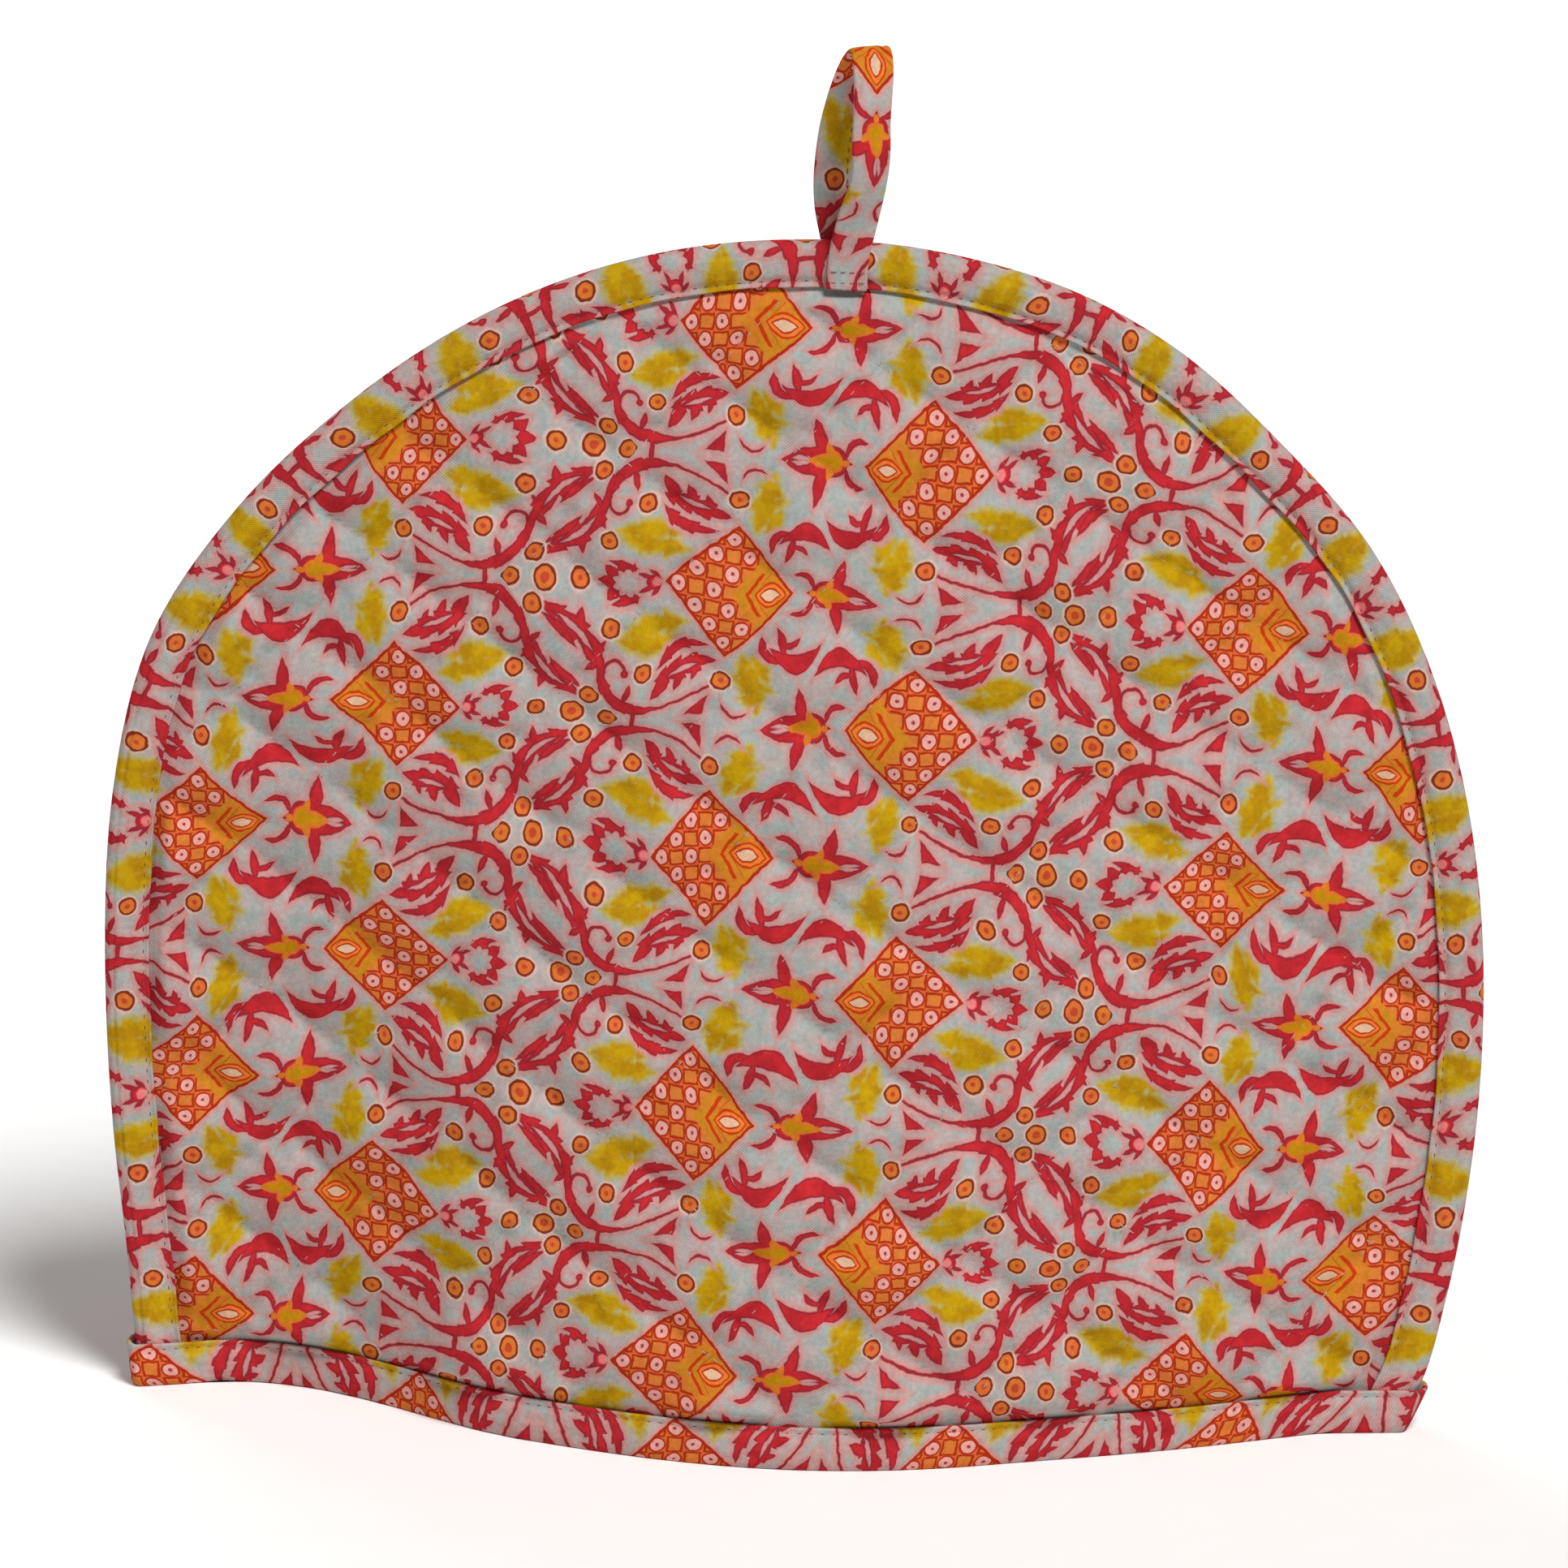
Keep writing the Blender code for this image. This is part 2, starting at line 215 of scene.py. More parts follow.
def closing(height):
    """1 at the hem, falling to 0 where the seam crosses the top."""
    return 1 - np.clip(height / (APEX_HEIGHT - BAND), 0, 1) ** FALL_SHAPE


def share_across(across, height, side):
    """-1 to 1 between the side seams, with 0 at a panel's fullest place. side is 1 in front and
    -1 behind."""
    left, right = seam_sides(height)
    share = np.clip((2 * across - left - right) / (right - left), -1, 1)
    return share - side * MOUTH_LEAN * (1 - share**2)


def opening(across, height, side):
    """How far a panel stands out from the middle: the mouth times a cosine across."""
    share = share_across(across, height, side)
    return MOUTH * closing(height) * np.cos(np.pi / 2 * share).clip(0) ** MOUTH_SHAPE


def swing(across, height):
    """Y of the surface midway between the panels: a squared cosine for each bend of the mouth."""
    total = np.zeros(np.shape(across))
    for middle, half, depth in SWINGS:
        u = np.clip((across - middle) / half, -1, 1)
        total = total + depth * np.cos(np.pi / 2 * u) ** 2
    return total * (1 - np.clip(height / APEX_HEIGHT, 0, 1)) ** SWING_SHAPE


def cloth_across(across, height, side):
    """Distance across measured on the bowed cloth. The arc adds half the squared slope, which sums
    to the cubed sine."""
    left, right = seam_sides(height)
    arc = 2 * (MOUTH * closing(height)) ** 2 / (right - left) * MOUTH_SHAPE**2 * np.pi / 12
    turn = np.sin(np.pi / 2 * share_across(across, height, side))
    return across + np.where(closing(height) > 0, arc, 0) * turn**3


deep = 2 * opening(np.array([0.0]), np.array([0.0]), 1)[0]
print(f"the mouth stands {deep * 1000:.0f} mm open")

# %% [markdown]
# ## Quilting
#
# Quilting sews the printed cotton, the wadding and the lining together along crossing lines. Each
# diamond between the lines swells like a small pillow, and the thread pulls fine puckers into the
# cloth beside every line. The swelling is a product of two sines that are zero on the lines. A power
# below one makes a diamond flat on top and steep at its seams. No two real diamonds are alike, so
# each gets its own height from a seeded draw, and a few slow waves keep the whole cloth uneven.

# %% Diamonds, puckers and soft waves
LOFT = 0.0012  # what the wadding adds along a quilting line
PUFF_OUT = 0.0043  # how far a diamond swells outward
PUFF_IN = 0.0012  # and inward
PUFF_SHAPE = 0.68  # below 1, a diamond is flat on top
PUFF_FADE = 0.0032  # the wadding reaches its loft this far from a binding
QUILT_SIDE = 0.0254  # side of one diamond
QUILT_TURNS = np.radians([-33.4, 47.8])  # directions of the lines: down and up to the right
QUILT_SIDES = QUILT_SIDE * np.stack([np.cos(QUILT_TURNS), np.sin(QUILT_TURNS)], axis=1)
QUILT_ORIGIN = np.array([0.0308, 0.1147])  # a crossing of two lines, across and up
QUILT_LIFT = QUILT_SIDE * np.sin(np.ptp(QUILT_TURNS))  # distance between neighbouring lines
VALLEY = 0.085  # rounds the bottom of a quilting line
CELL_COUNT = 64  # size of the table of drawn values, repeated over the diamonds
CELL_SPREAD = 0.20  # how much the diamonds' heights differ
PUCKER = 0.00042  # depth of the puckers beside a line
PUCKER_WIDE = 0.0042  # how far they reach
PUCKER_LONG = 0.0068  # from one to the next
PUCKER_MEAN, PUCKER_SPREAD = 0.65, 0.5  # their strength, and how much it differs
PUCKER_START = 9  # how far a line's puckers are moved along it, in drawn radians
FINE_WAVE, FINE_LENGTH = 0.00035, 0.019  # depth and length of the printed face's own waves
SLOW_WAVE, SLOW_LENGTH = 0.0007, 0.055  # and of those that both faces share

SEED = 11
rng = np.random.default_rng(SEED)
cell_draws = rng.uniform(-1, 1, (4, CELL_COUNT, CELL_COUNT))
wave_draws = rng.uniform(0, 1, (9, 3))


def drawn(layer, p, q):
    """The drawn value of the diamond or line with these whole numbers."""
    return cell_draws[layer, p.astype(int) % CELL_COUNT, q.astype(int) % CELL_COUNT]


def soft_waves(x, z, length):
    """Slow unevenness between about -1 and 1: sine waves of nearly one length in drawn directions."""
    total = np.zeros(np.shape(x))
    for turn, stretch, start in wave_draws:
        across = x * np.cos(np.pi * turn) + z * np.sin(np.pi * turn)
        total = total + np.sin(2 * np.pi * (across / (length * (0.7 + 0.6 * stretch)) + start))
    return total / np.sqrt(len(wave_draws)) / 1.4


def quilt_place(cloth_x, cloth_z):
    """Place on the quilting's own grid: whole numbers are lines, and their fractions run between."""
    place = np.stack([cloth_x - QUILT_ORIGIN[0], cloth_z - QUILT_ORIGIN[1]], axis=-1)
    return np.moveaxis(place @ np.linalg.inv(QUILT_SIDES), -1, 0)


def swelling(cloth_x, cloth_z):
    """0 on the lines and about 1 in the middle of a diamond. Each sine is rounded at 0 by adding a
    small square under a root."""
    p, q = quilt_place(cloth_x, cloth_z)
    rounded = [np.sqrt(np.sin(np.pi * s) ** 2 + VALLEY**2) - VALLEY for s in (p, q)]
    height = 1 + CELL_SPREAD * drawn(0, np.floor(p), np.floor(q))
    return (rounded[0] * rounded[1]) ** PUFF_SHAPE * height


def puckers(cloth_x, cloth_z):
    """Small folds that cross each line and die out beside it: a sine along the line times a bell
    across it, with a drawn strength from place to place."""
    p, q = quilt_place(cloth_x, cloth_z)
    total = 0
    for layer, (over, run) in enumerate(((p, q), (q, p)), 1):
        line = np.round(over)
        bell = np.exp(-(((over - line) * QUILT_LIFT / PUCKER_WIDE) ** 2))
        along = run * QUILT_SIDE / PUCKER_LONG
        strength = PUCKER_MEAN + PUCKER_SPREAD * soft_waves(along * 0.01 + line, line, 0.031)
        start = PUCKER_START * drawn(layer, line, line)
        total = total + strength * bell * np.sin(2 * np.pi * along + start)
    return total


print(f"quilting lines {QUILT_LIFT * 1000:.1f} mm apart")

# %% The two faces of a panel


def layers(across, height, side):
    """Distances of a panel's inner and outer face from the surface midway between the panels."""
    inside = edge_distance(across, height) - BAND - GAP
    loft = eased(inside, PUFF_FADE) * eased(height - BAND - GAP, PUFF_FADE)
    x = cloth_across(across, height, side)
    lift = loft * swelling(x, height)
    fine = FINE_WAVE * soft_waves(x, height + side, FINE_LENGTH)
    fine = loft * (PUCKER * puckers(x, height) + fine)
    slow = loft * SLOW_WAVE * soft_waves(x + side, height, SLOW_LENGTH)
    stand = opening(across, height, side)
    inner = GAP / 2 + np.maximum(stand + slow - PUFF_IN * lift, 0)
    outer = GAP / 2 + stand + slow + PRESSED + LOFT * loft + PUFF_OUT * lift + fine
    return inner, np.maximum(outer, inner + PRESSED * THINNEST)


inner, outer = layers(np.linspace(-0.1, 0.1, 81), np.full(81, APEX_HEIGHT / 2), 1)
thin, thick = (outer - inner).min() * 1000, (outer - inner).max() * 1000
print(f"halfway up, the front panel is {thin:.1f} to {thick:.1f} mm thick")

# %% [markdown]
# ## Putting surfaces into meshes
#
# Each cloth is a grid of points worked out with numpy, so it needs one helper that turns arrays of
# corners into a mesh. The pattern on cloth has to follow the weave and not the room, so every mesh
# also carries a UV map in metres of cloth. Where a strip closes on itself, its last faces use the
# first points again but keep their own UVs, and the pattern runs on without a smear. The two
# bindings and the loop are all sections carried along a line, so they share a helper too.

# %% Mesh helpers


def add_object(name, data):
    """An object in the scene for a mesh, a lamp or a camera."""
    thing = bpy.data.objects.new(name, data)
    bpy.context.scene.collection.objects.link(thing)
    return thing


def grid_faces(rows, cols, close_rows=False, close_cols=False):
    """Quads of a grid of points, and the same quads as places in a grid of UVs. A closed direction
    goes back to its first points, but its UV grid has one row or column more."""
    i, j = np.meshgrid(np.arange(rows), np.arange(cols), indexing="ij")
    i, j = i.ravel(), j.ravel()
    around = ((0, 0), (0, 1), (1, 1), (1, 0))
    deep, wide = rows + (not close_rows), cols + (not close_cols)
    faces = [((i + a) % deep) * wide + (j + b) % wide for a, b in around]
    places = [(i + a) * (cols + 1) + j + b for a, b in around]
    return np.stack(faces, axis=1), np.stack(places, axis=1)


def signed_volume(points, faces):
    """Volume inside the faces, positive where they point outward: a fan of tetrahedra each."""
    total = 0.0
    for block in faces:
        first = points[block[:, 0]]
        for k in range(1, block.shape[1] - 1):
            cross = np.cross(points[block[:, k]], points[block[:, k + 1]])
            total += (first * cross).sum() / 6
    return total


def new_piece(name, points, faces, uvs, places):
    """A mesh object from points, blocks of faces with equal corner counts, UV points, and for each
    face the UV points of its corners. Faces are turned round if they point inward."""
    if signed_volume(points, faces) < 0:
        faces = [block[:, ::-1] for block in faces]
        places = [block[:, ::-1] for block in places]
    corners = np.concatenate([block.ravel() for block in faces])
    sizes = np.concatenate([np.full(len(block), block.shape[1]) for block in faces])
    mesh = bpy.data.meshes.new(name)
    mesh.vertices.add(len(points))
    mesh.vertices.foreach_set("co", points.astype(np.float32).ravel())
    mesh.loops.add(len(corners))
    mesh.loops.foreach_set("vertex_index", corners.astype(np.int32))
    mesh.polygons.add(len(sizes))
    mesh.polygons.foreach_set("loop_start", np.concatenate([[0], np.cumsum(sizes)[:-1]]))
    layer = mesh.uv_layers.new(name="cloth")
    corner_uvs = uvs[np.concatenate([block.ravel() for block in places])]
    layer.data.foreach_set("uv", corner_uvs.astype(np.float32).ravel())
    mesh.update(calc_edges=True)
    mesh.validate()
    mesh.shade_smooth()
    piece = add_object(name, mesh)
    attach(piece, "root")
    area = sum(face.area for face in mesh.polygons)
    print(f"{name}: {(sizes - 2).sum()} triangles, {area * 1e4:.0f} cm2 of surface")
    return piece


def stand_in(node):
    """Hides a CAD node, so that the piece made from it shows in its place."""
    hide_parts(node)


def make_strip(node, points, run, around, closed=False):
    """A strip from a section carried along: points (run, round, xyz), and the distances along it and
    round it as UVs. A closed one goes back to its start, and any other gets two flat ends."""
    rows, cols = points.shape[:2]
    rows -= not closed
    faces, places = grid_faces(rows, cols, close_rows=closed, close_cols=True)
    faces, places = [faces], [places]
    if not closed:
        end = np.arange(cols)[None]
        faces += [end[:, ::-1], end + rows * cols]
        places += [end[:, ::-1], end]
    uvs = np.stack(np.broadcast_arrays(run[:, None], around), axis=-1).reshape(-1, 2)
    piece = new_piece(f"{node}_cloth", points.reshape(-1, 3), faces, uvs, places)
    stand_in(node)
    return piece


print("corners of a grid of one row and two columns:", grid_faces(1, 2)[0].tolist())

# %% [markdown]
# ## The two panels
#
# A panel is a padded sandwich about eight millimetres thick in the middle of a diamond and one and
# a half under a binding. It is one closed sheet: a fine grid for the printed face, a coarser one for
# the lining, and a rim that joins them out of sight inside the bindings. Rows run across the cosy,
# closer together near the top, where the arch turns quickly.

# %% Panels
PANEL_ROWS, PANEL_COLS = 226, 260  # of the printed face; both even, because the lining has half
PANEL_FOOT = FOLD + GAP
PANEL_TOP = 0.2700  # the rim's last row, inside the binding at the apex
ROW_SHAPE = 1.22  # above 1, rows close up toward the top
GRAIN_DROOP = 0.45  # how the cloth's grain sinks toward the sides, per metre


def panel_face(rows, cols, side):
    """Across, height and both layers on a grid between the two sides of the rim."""
    t = np.linspace(0, 1, rows + 1)[:, None]
    height = PANEL_FOOT + (PANEL_TOP - PANEL_FOOT) * (1 - (1 - t) ** ROW_SHAPE)
    left, right = sides_at(height, FOLD + 2 * GAP)
    across = left + (right - left) * np.linspace(0, 1, cols + 1)
    height = np.broadcast_to(height, across.shape)
    inner, outer = layers(across, height, side)
    return across, height, inner, outer


def border(rows, cols):
    """Places of a grid's border points, once round."""
    grid = np.arange((rows + 1) * (cols + 1)).reshape(rows + 1, cols + 1)
    return np.concatenate([grid[0, :-1], grid[:-1, -1], grid[-1, :0:-1], grid[:0:-1, 0]])


def make_panel(name, side):
    """A closed sheet from the printed face, the lining face, and a rim of five-cornered faces that
    joins two edges of the one to one edge of the other."""
    points, uvs = [], []
    for part, share in ((3, 1), (2, 2)):
        found = panel_face(PANEL_ROWS // share, PANEL_COLS // share, side)
        across, height = found[:2]
        y = swing(across, height) - side * found[part]
        points.append(np.stack([across, y, height], axis=-1).reshape(-1, 3))
        u = cloth_across(across, height, side)
        v = height + GRAIN_DROOP * u**2
        uvs.append(np.stack([side * u, v], axis=-1).reshape(-1, 2))
    printed, _ = grid_faces(PANEL_ROWS, PANEL_COLS)
    lining, _ = grid_faces(PANEL_ROWS // 2, PANEL_COLS // 2)
    lining = lining[:, ::-1] + len(points[0])
    outer = border(PANEL_ROWS, PANEL_COLS)
    inner = border(PANEL_ROWS // 2, PANEL_COLS // 2) + len(points[0])
    far = np.roll(outer, -2)[::2]
    rim = np.stack([outer[::2], inner, np.roll(inner, -1), far, outer[1::2]], axis=1)
    faces = [printed, lining, rim]
    piece = new_piece(name, np.concatenate(points), faces, np.concatenate(uvs), faces)
    kinds = np.repeat([0, 1, 0], [len(block) for block in faces])
    piece.data.polygons.foreach_set("material_index", kinds.astype(np.int32))
    return piece


SIDES = {1: "front", -1: "back"}
panels = {side: make_panel(f"{label}_panel_cloth", side) for side, label in SIDES.items()}
for side, label in SIDES.items():
    stand_in(f"{label}_panel")

# %% [markdown]
# ## Stitches
#
# On real quilting the thread shows as short dashes that sink into the cloth at both ends. Painting
# them would leave them flat, so each stitch is a tiny four-sided tube of five rings. All stitches of
# one kind share a mesh and are worked out together: an array of paths goes in, one path per stitch.

# %% Thread helper
THREAD = 0.00014  # radius of the quilting thread
SEAM_THREAD = 0.00013  # and of the thread in the seams
SINK = np.array([-0.00030, -0.00002, 0.00006, -0.00002, -0.00030])  # height of a stitch's rings
STITCH_RINGS = len(SINK)
STITCH_SIDES = 4
STITCH_TAPER = np.array([0.6, 1, 1, 1, 0.6])  # a ring's radius, as a share


def dashes(starts, step, share):
    """Where the rings of each stitch lie: evenly over a share of the step about its middle."""
    return starts[:, None] + np.linspace(-0.5, 0.5, STITCH_RINGS) * share * step


def make_thread(name, node, path, out, radius=SEAM_THREAD):
    """Stitches from path points (stitch, ring, xyz) on the cloth and outward directions there. Each
    ring is a square about the path, and the tube is thinner where it enters the cloth."""
    path = path + out * SINK[:, None]
    wide = unit(np.cross(np.gradient(path, axis=1), out))
    turns = np.linspace(0, 2 * np.pi, STITCH_SIDES, endpoint=False)[:, None]
    thick = radius * STITCH_TAPER[:, None, None]
    section = np.cos(turns) * wide[:, :, None] + np.sin(turns) * out[:, :, None]
    points = (path[:, :, None] + thick * section).reshape(-1, 3)
    tube, _ = grid_faces(STITCH_RINGS - 1, STITCH_SIDES, close_cols=True)
    ends = np.array([np.arange(STITCH_SIDES)[::-1], np.arange(STITCH_SIDES)])
    ends[1] += (STITCH_RINGS - 1) * STITCH_SIDES
    one = np.concatenate([tube, ends])
    starts = np.arange(len(path)) * STITCH_RINGS * STITCH_SIDES
    faces = (one[None] + starts[:, None, None]).reshape(-1, 4)
    print(f"{name}: {len(path)} stitches")
    new_piece(name, points, [faces], points[:, [0, 2]], [faces])


print("rings of a stitch, as shares of its length:", dashes(np.zeros(1), 1, 1)[0].tolist())

# %% [markdown]
# The quilting stitches follow the two sets of lines over the bowed cloth. A line is straight on the
# cloth, so the places are found there first and then turned back into places across the cosy, by
# taking away what the bow adds, a few times over.

# %% Quilting stitches
STITCH_STEP = 0.0030  # from one quilting stitch to the next
STITCH_SHARE = 0.68  # of the step that shows as thread
QUILT_REACH = 1.6  # lines counted from the first crossing, in heights of the arch
QUILT_CLEAR = 0.0012  # how far the stitches stay from the arch's binding
QUILT_FOOT = 0.0015  # and from the hem's
QUILT_HALF, QUILT_TOP = 0.19, 0.261  # stitches past these would miss the panel's open cloth
SLOPE_STEP = 0.001  # over which the bow's slope is measured
ROUNDS = 12  # corrections that turn a place on the cloth into one across the cosy


def across_from_cloth(cloth_x, height, side):
    """The place across the cosy for a place on the cloth, by repeated correction."""
    across = cloth_x
    for _ in range(ROUNDS):
        across = cloth_x - (cloth_across(across, height, side) - across)
    return across


def quilting_paths(side):
    """Ring points of every quilting stitch on one panel, and the outward direction there."""
    reach = int(QUILT_REACH * APEX_HEIGHT / QUILT_SIDE)
    lines = np.arange(-reach, reach + 1)
    starts = np.arange(-reach * QUILT_SIDE, reach * QUILT_SIDE, STITCH_STEP)
    along = dashes(starts, STITCH_STEP, STITCH_SHARE) / QUILT_SIDE
    along = np.tile(along, (len(lines), 1))
    line = np.repeat(lines, len(starts) * STITCH_RINGS).reshape(along.shape)
    both = [np.stack(pair, axis=-1) @ QUILT_SIDES for pair in ((line, along), (along, line))]
    x, z = np.moveaxis(np.concatenate(both) + QUILT_ORIGIN, -1, 0)
    near = (np.abs(x[:, 0]) < QUILT_HALF) & (z.max(axis=1) < QUILT_TOP)
    near &= z.min(axis=1) > BAND + QUILT_FOOT
    x, z = x[near], z[near]
    across = across_from_cloth(x, z, side)
    left, right = seam_sides(z)
    clear = (edge_distance(across, z) > BAND + QUILT_CLEAR) & (left < across) & (across < right)
    clear = clear.all(axis=1)
    across, z = across[clear], z[clear]
    _, outer = layers(across, z, side)
    path = np.stack([across, swing(across, z) - side * outer, z], axis=-1)
    bow = [
        (opening(across + dx, z + dz, side) - opening(across, z, side)) / SLOPE_STEP
        for dx, dz in ((SLOPE_STEP, 0), (0, SLOPE_STEP))
    ]
    out = unit(np.stack([-bow[0], np.full(across.shape, -side), -bow[1]], axis=-1))
    return path, out


for side, label in SIDES.items():
    make_thread(f"{label}_quilting_thread", f"{label}_panel", *quilting_paths(side), THREAD)

# %% [markdown]
# ## The binding round the arch
#
# Bias binding is a strip with both edges pressed under, folded over the raw edges and sewn through.
# It stays puffy between its seam and its fold, dips at the seam, and carries small creases across it
# where the strip is eased round the curve. The form is a section carried along the arch: a rounded
# lip, a face that bulges and dips, a round nose, and the same behind.

# %% Edge binding
HOLD = GAP / 2 + PRESSED + GAP  # half of what the strip wraps
FACE = HOLD + FOLD
BIND_STEPS = 520  # along the arch
LEVEL_HIGH = 0.026  # height over which the strip turns level toward its feet
LIP_ROUND = 0.0004
NOSE_LONG, NOSE_SHAPE = 0.0022, 0.9  # the round nose at the fold, and its power
PLAIN = 0.0002  # between the face and the roundings at both its ends
SEAM_IN = 0.0014  # the seam's distance from the strip's lip
SEAM_DIP, SEAM_WIDE = 0.00050, 0.0008  # how deep and wide the seam dips
BULGE = 0.00045
BULGE_SPREAD, BULGE_LONG = 0.35, 0.033  # how much it differs, and over what length
EASE = 0.00016  # depth of the small creases across the strip
EASE_LONG, EASE_SHORT = 0.0085, 0.004  # lengths of coarse and of fine creases
EASE_FINE = 0.6  # depth of the fine ones, as a share
WOBBLE, WOBBLE_LONG = 0.00018, 0.021  # how unevenly the lip runs, and over what length
LIP = 0.0012  # width of the part that wobbles
BEHIND = 0.5  # added to the run behind, so that the creases there are others


def strip_relief(from_lip, width, run):
    """What a strip's face stands above its plain thickness, from the distance to its lip: half a
    sine for the bulge, less a bell for the seam, plus creases that cross the strip."""
    t = np.clip((from_lip - SEAM_IN) / (width - SEAM_IN), 0, 1)
    dip = SEAM_DIP * np.exp(-(((from_lip - SEAM_IN) / SEAM_WIDE) ** 2))
    creases = soft_waves(run, 0.3 * from_lip, EASE_LONG)
    creases = creases + EASE_FINE * soft_waves(run + 1, from_lip, EASE_SHORT)
    slow = 1 + BULGE_SPREAD * soft_waves(run + 2, 0, BULGE_LONG)
    return BULGE * slow * np.sin(np.pi * t) - dip + EASE * creases * np.sin(np.pi * t) ** 0.7


def edge_section():
    """The strip's section once round as (inward, out) points, and for each point 1 where it lies on
    an outer face and 0 elsewhere."""
    turn = np.linspace(-np.pi / 2, np.pi / 2, 7)
    rounding = LIP_ROUND * (1 - np.cos(turn))
    lip = np.stack([BAND - rounding, HOLD + FOLD / 2 * (1 + np.sin(turn))], axis=1)
    face = np.linspace(BAND - LIP_ROUND - PLAIN, NOSE_LONG + PLAIN, 16)
    face = np.stack([face, np.full(len(face), FACE)], axis=1)
    bend = np.linspace(np.pi / 2, 0, 8)[:-1]
    nose = NOSE_LONG * (1 - np.cos(bend) ** NOSE_SHAPE)
    nose = np.stack([nose, FACE * np.sin(bend) ** NOSE_SHAPE], axis=1)
    front = np.concatenate([lip, face, nose])
    back = front[::-1] * (1, -1)
    inside = np.array([(BAND / 2, -HOLD), (FOLD, -HOLD), (FOLD, HOLD), (BAND / 2, HOLD)])
    outline = np.concatenate([front, [(0, 0)], back, inside])
    on_face = np.zeros(len(outline))
    on_face[len(lip) : len(lip) + len(face)] = 1
    on_face[2 * len(front) + 1 - len(lip) - len(face) : 2 * len(front) + 1 - len(lip)] = 1
    return outline, on_face


def edge_rails(steps):
    """The arch's stations and inward directions. Near both feet the directions turn level, so the
    strip ends in a level cut that fits on the hem."""
    foot = FOLD + GAP
    line, into = arch_line(steps, foot=foot)
    level = 1 - eased(line[:, 1] - foot, LEVEL_HIGH)
    turned = into * (1 - level)[:, None]
    turned[:, 0] += np.divide(level, into[:, 0], out=np.zeros(len(into)), where=level > 0)
    return line, turned


outline, on_face = edge_section()
rail, into = edge_rails(BIND_STEPS)
run = run_along(rail)
inward = outline[:, 0]
relief = strip_relief(BAND - inward, BAND, run[:, None] + BEHIND * (outline[:, 1] < 0)) * on_face
wobble = WOBBLE * soft_waves(run, 0, WOBBLE_LONG)[:, None] * (inward > BAND - LIP)
flat = rail[:, None] + (inward + wobble)[..., None] * into[:, None]
y = swing(flat[..., 0], flat[..., 1]) - np.where(outline[:, 1] < 0, -1, 1) * relief - outline[:, 1]
points = np.stack([flat[..., 0], y, flat[..., 1]], axis=-1)
around = run_along(np.concatenate([outline, outline[:1]]))
edge_binding = make_strip("edge_binding", points, run, around)
edge_run = run[-1]
print(f"the strip is {edge_run * 1000:.0f} mm long and {around[-1] * 500:.0f} mm wide on the flat")

# %% [markdown]
# A row of machine stitches runs just inside the lip, on both sides. The same formulas give the
# surface there, so the thread lies in the dip of the seam.

# %% Seam stitches of the edge binding
SEAM_STEP = 0.0026
SEAM_SHARE = 0.72  # of the step that shows as thread
SEAM_BARE = 5  # stitches left out at each foot, where the hem's strip lies


def edge_seam(side):
    """Ring points of the stitches along the arch, at the seam's distance from the lip."""
    count = int(edge_run / SEAM_STEP)
    line, into = edge_rails(8 * count)
    run = np.linspace(0, edge_run, len(line))
    starts = np.arange(SEAM_BARE, count - SEAM_BARE) * SEAM_STEP
    where = dashes(starts, SEAM_STEP, SEAM_SHARE)
    x, z = np.moveaxis(at_run(where, run, line + into * (BAND - SEAM_IN)), -1, 0)
    lift = FACE + strip_relief(SEAM_IN, BAND, where + BEHIND * (side < 0))
    path = np.stack([x, swing(x, z) - side * lift, z], axis=-1)
    return path, np.broadcast_to((0.0, -side, 0.0), path.shape)


for side, label in SIDES.items():
    make_thread(f"{label}_edge_seam_thread", "edge_binding", *edge_seam(side))

# %% [markdown]
# ## The binding round the mouth
#
# The second strip goes once round the open mouth, over the lower ends of the first one. It is made
# as rails: closed loops round the mouth, each at its own height and distance from the panels. Joined
# in order, the rails give the outer face with its lip and bulge, a rounded sole to stand on, the
# inner face, and the channel that holds the panels.

# %% Loops round the mouth
HEM_CLEAR = 0.0005  # play between the hem strip and what it wraps
HEM_TIP = 0.013  # how far the strip's inner side ends short of the side seams
HEM_ROUND = 0.002  # length over which its ends close
HEM_RAMP = (0.010, 0.0035)  # inside the side seams, where it rises over the edge binding
HEM_STEPS = 330  # along one side of the mouth
OTHER_SIDE = 3  # times the side, added to the place, so that the creases behind are others


def outside(across, height, side):
    """Distance of what the hem strip wraps, outside: the panel, and near the side seams the edge
    binding on it."""
    panel = GAP / 2 + opening(across, height, side) + PRESSED
    left, right = seam_sides(height)
    near = HEM_RAMP[0] - np.minimum(across - left, right - across)
    return panel + np.maximum(FACE - panel, 0) * eased(near, HEM_RAMP[0] - HEM_RAMP[1])


def within(across, height, side):
    """Distance of the panel's inner face."""
    return GAP / 2 + opening(across, height, side)


def mouth_stations(height, end_inset):
    """Places across one side of the mouth, closer toward its ends, and a share that closes the loop
    roundly there: a quarter circle over the last two millimetres."""
    left, right = arch_reach(height)
    low, high = -left + end_inset, right - end_inset
    share = np.sin(np.linspace(-np.pi / 2, np.pi / 2, HEM_STEPS + 1))
    across = (low + high) / 2 + (high - low) / 2 * share
    to_end = np.minimum(across - low, high - across)
    return across, np.sqrt(1 - (1 - np.clip(to_end / HEM_ROUND, 0, 1)) ** 2)


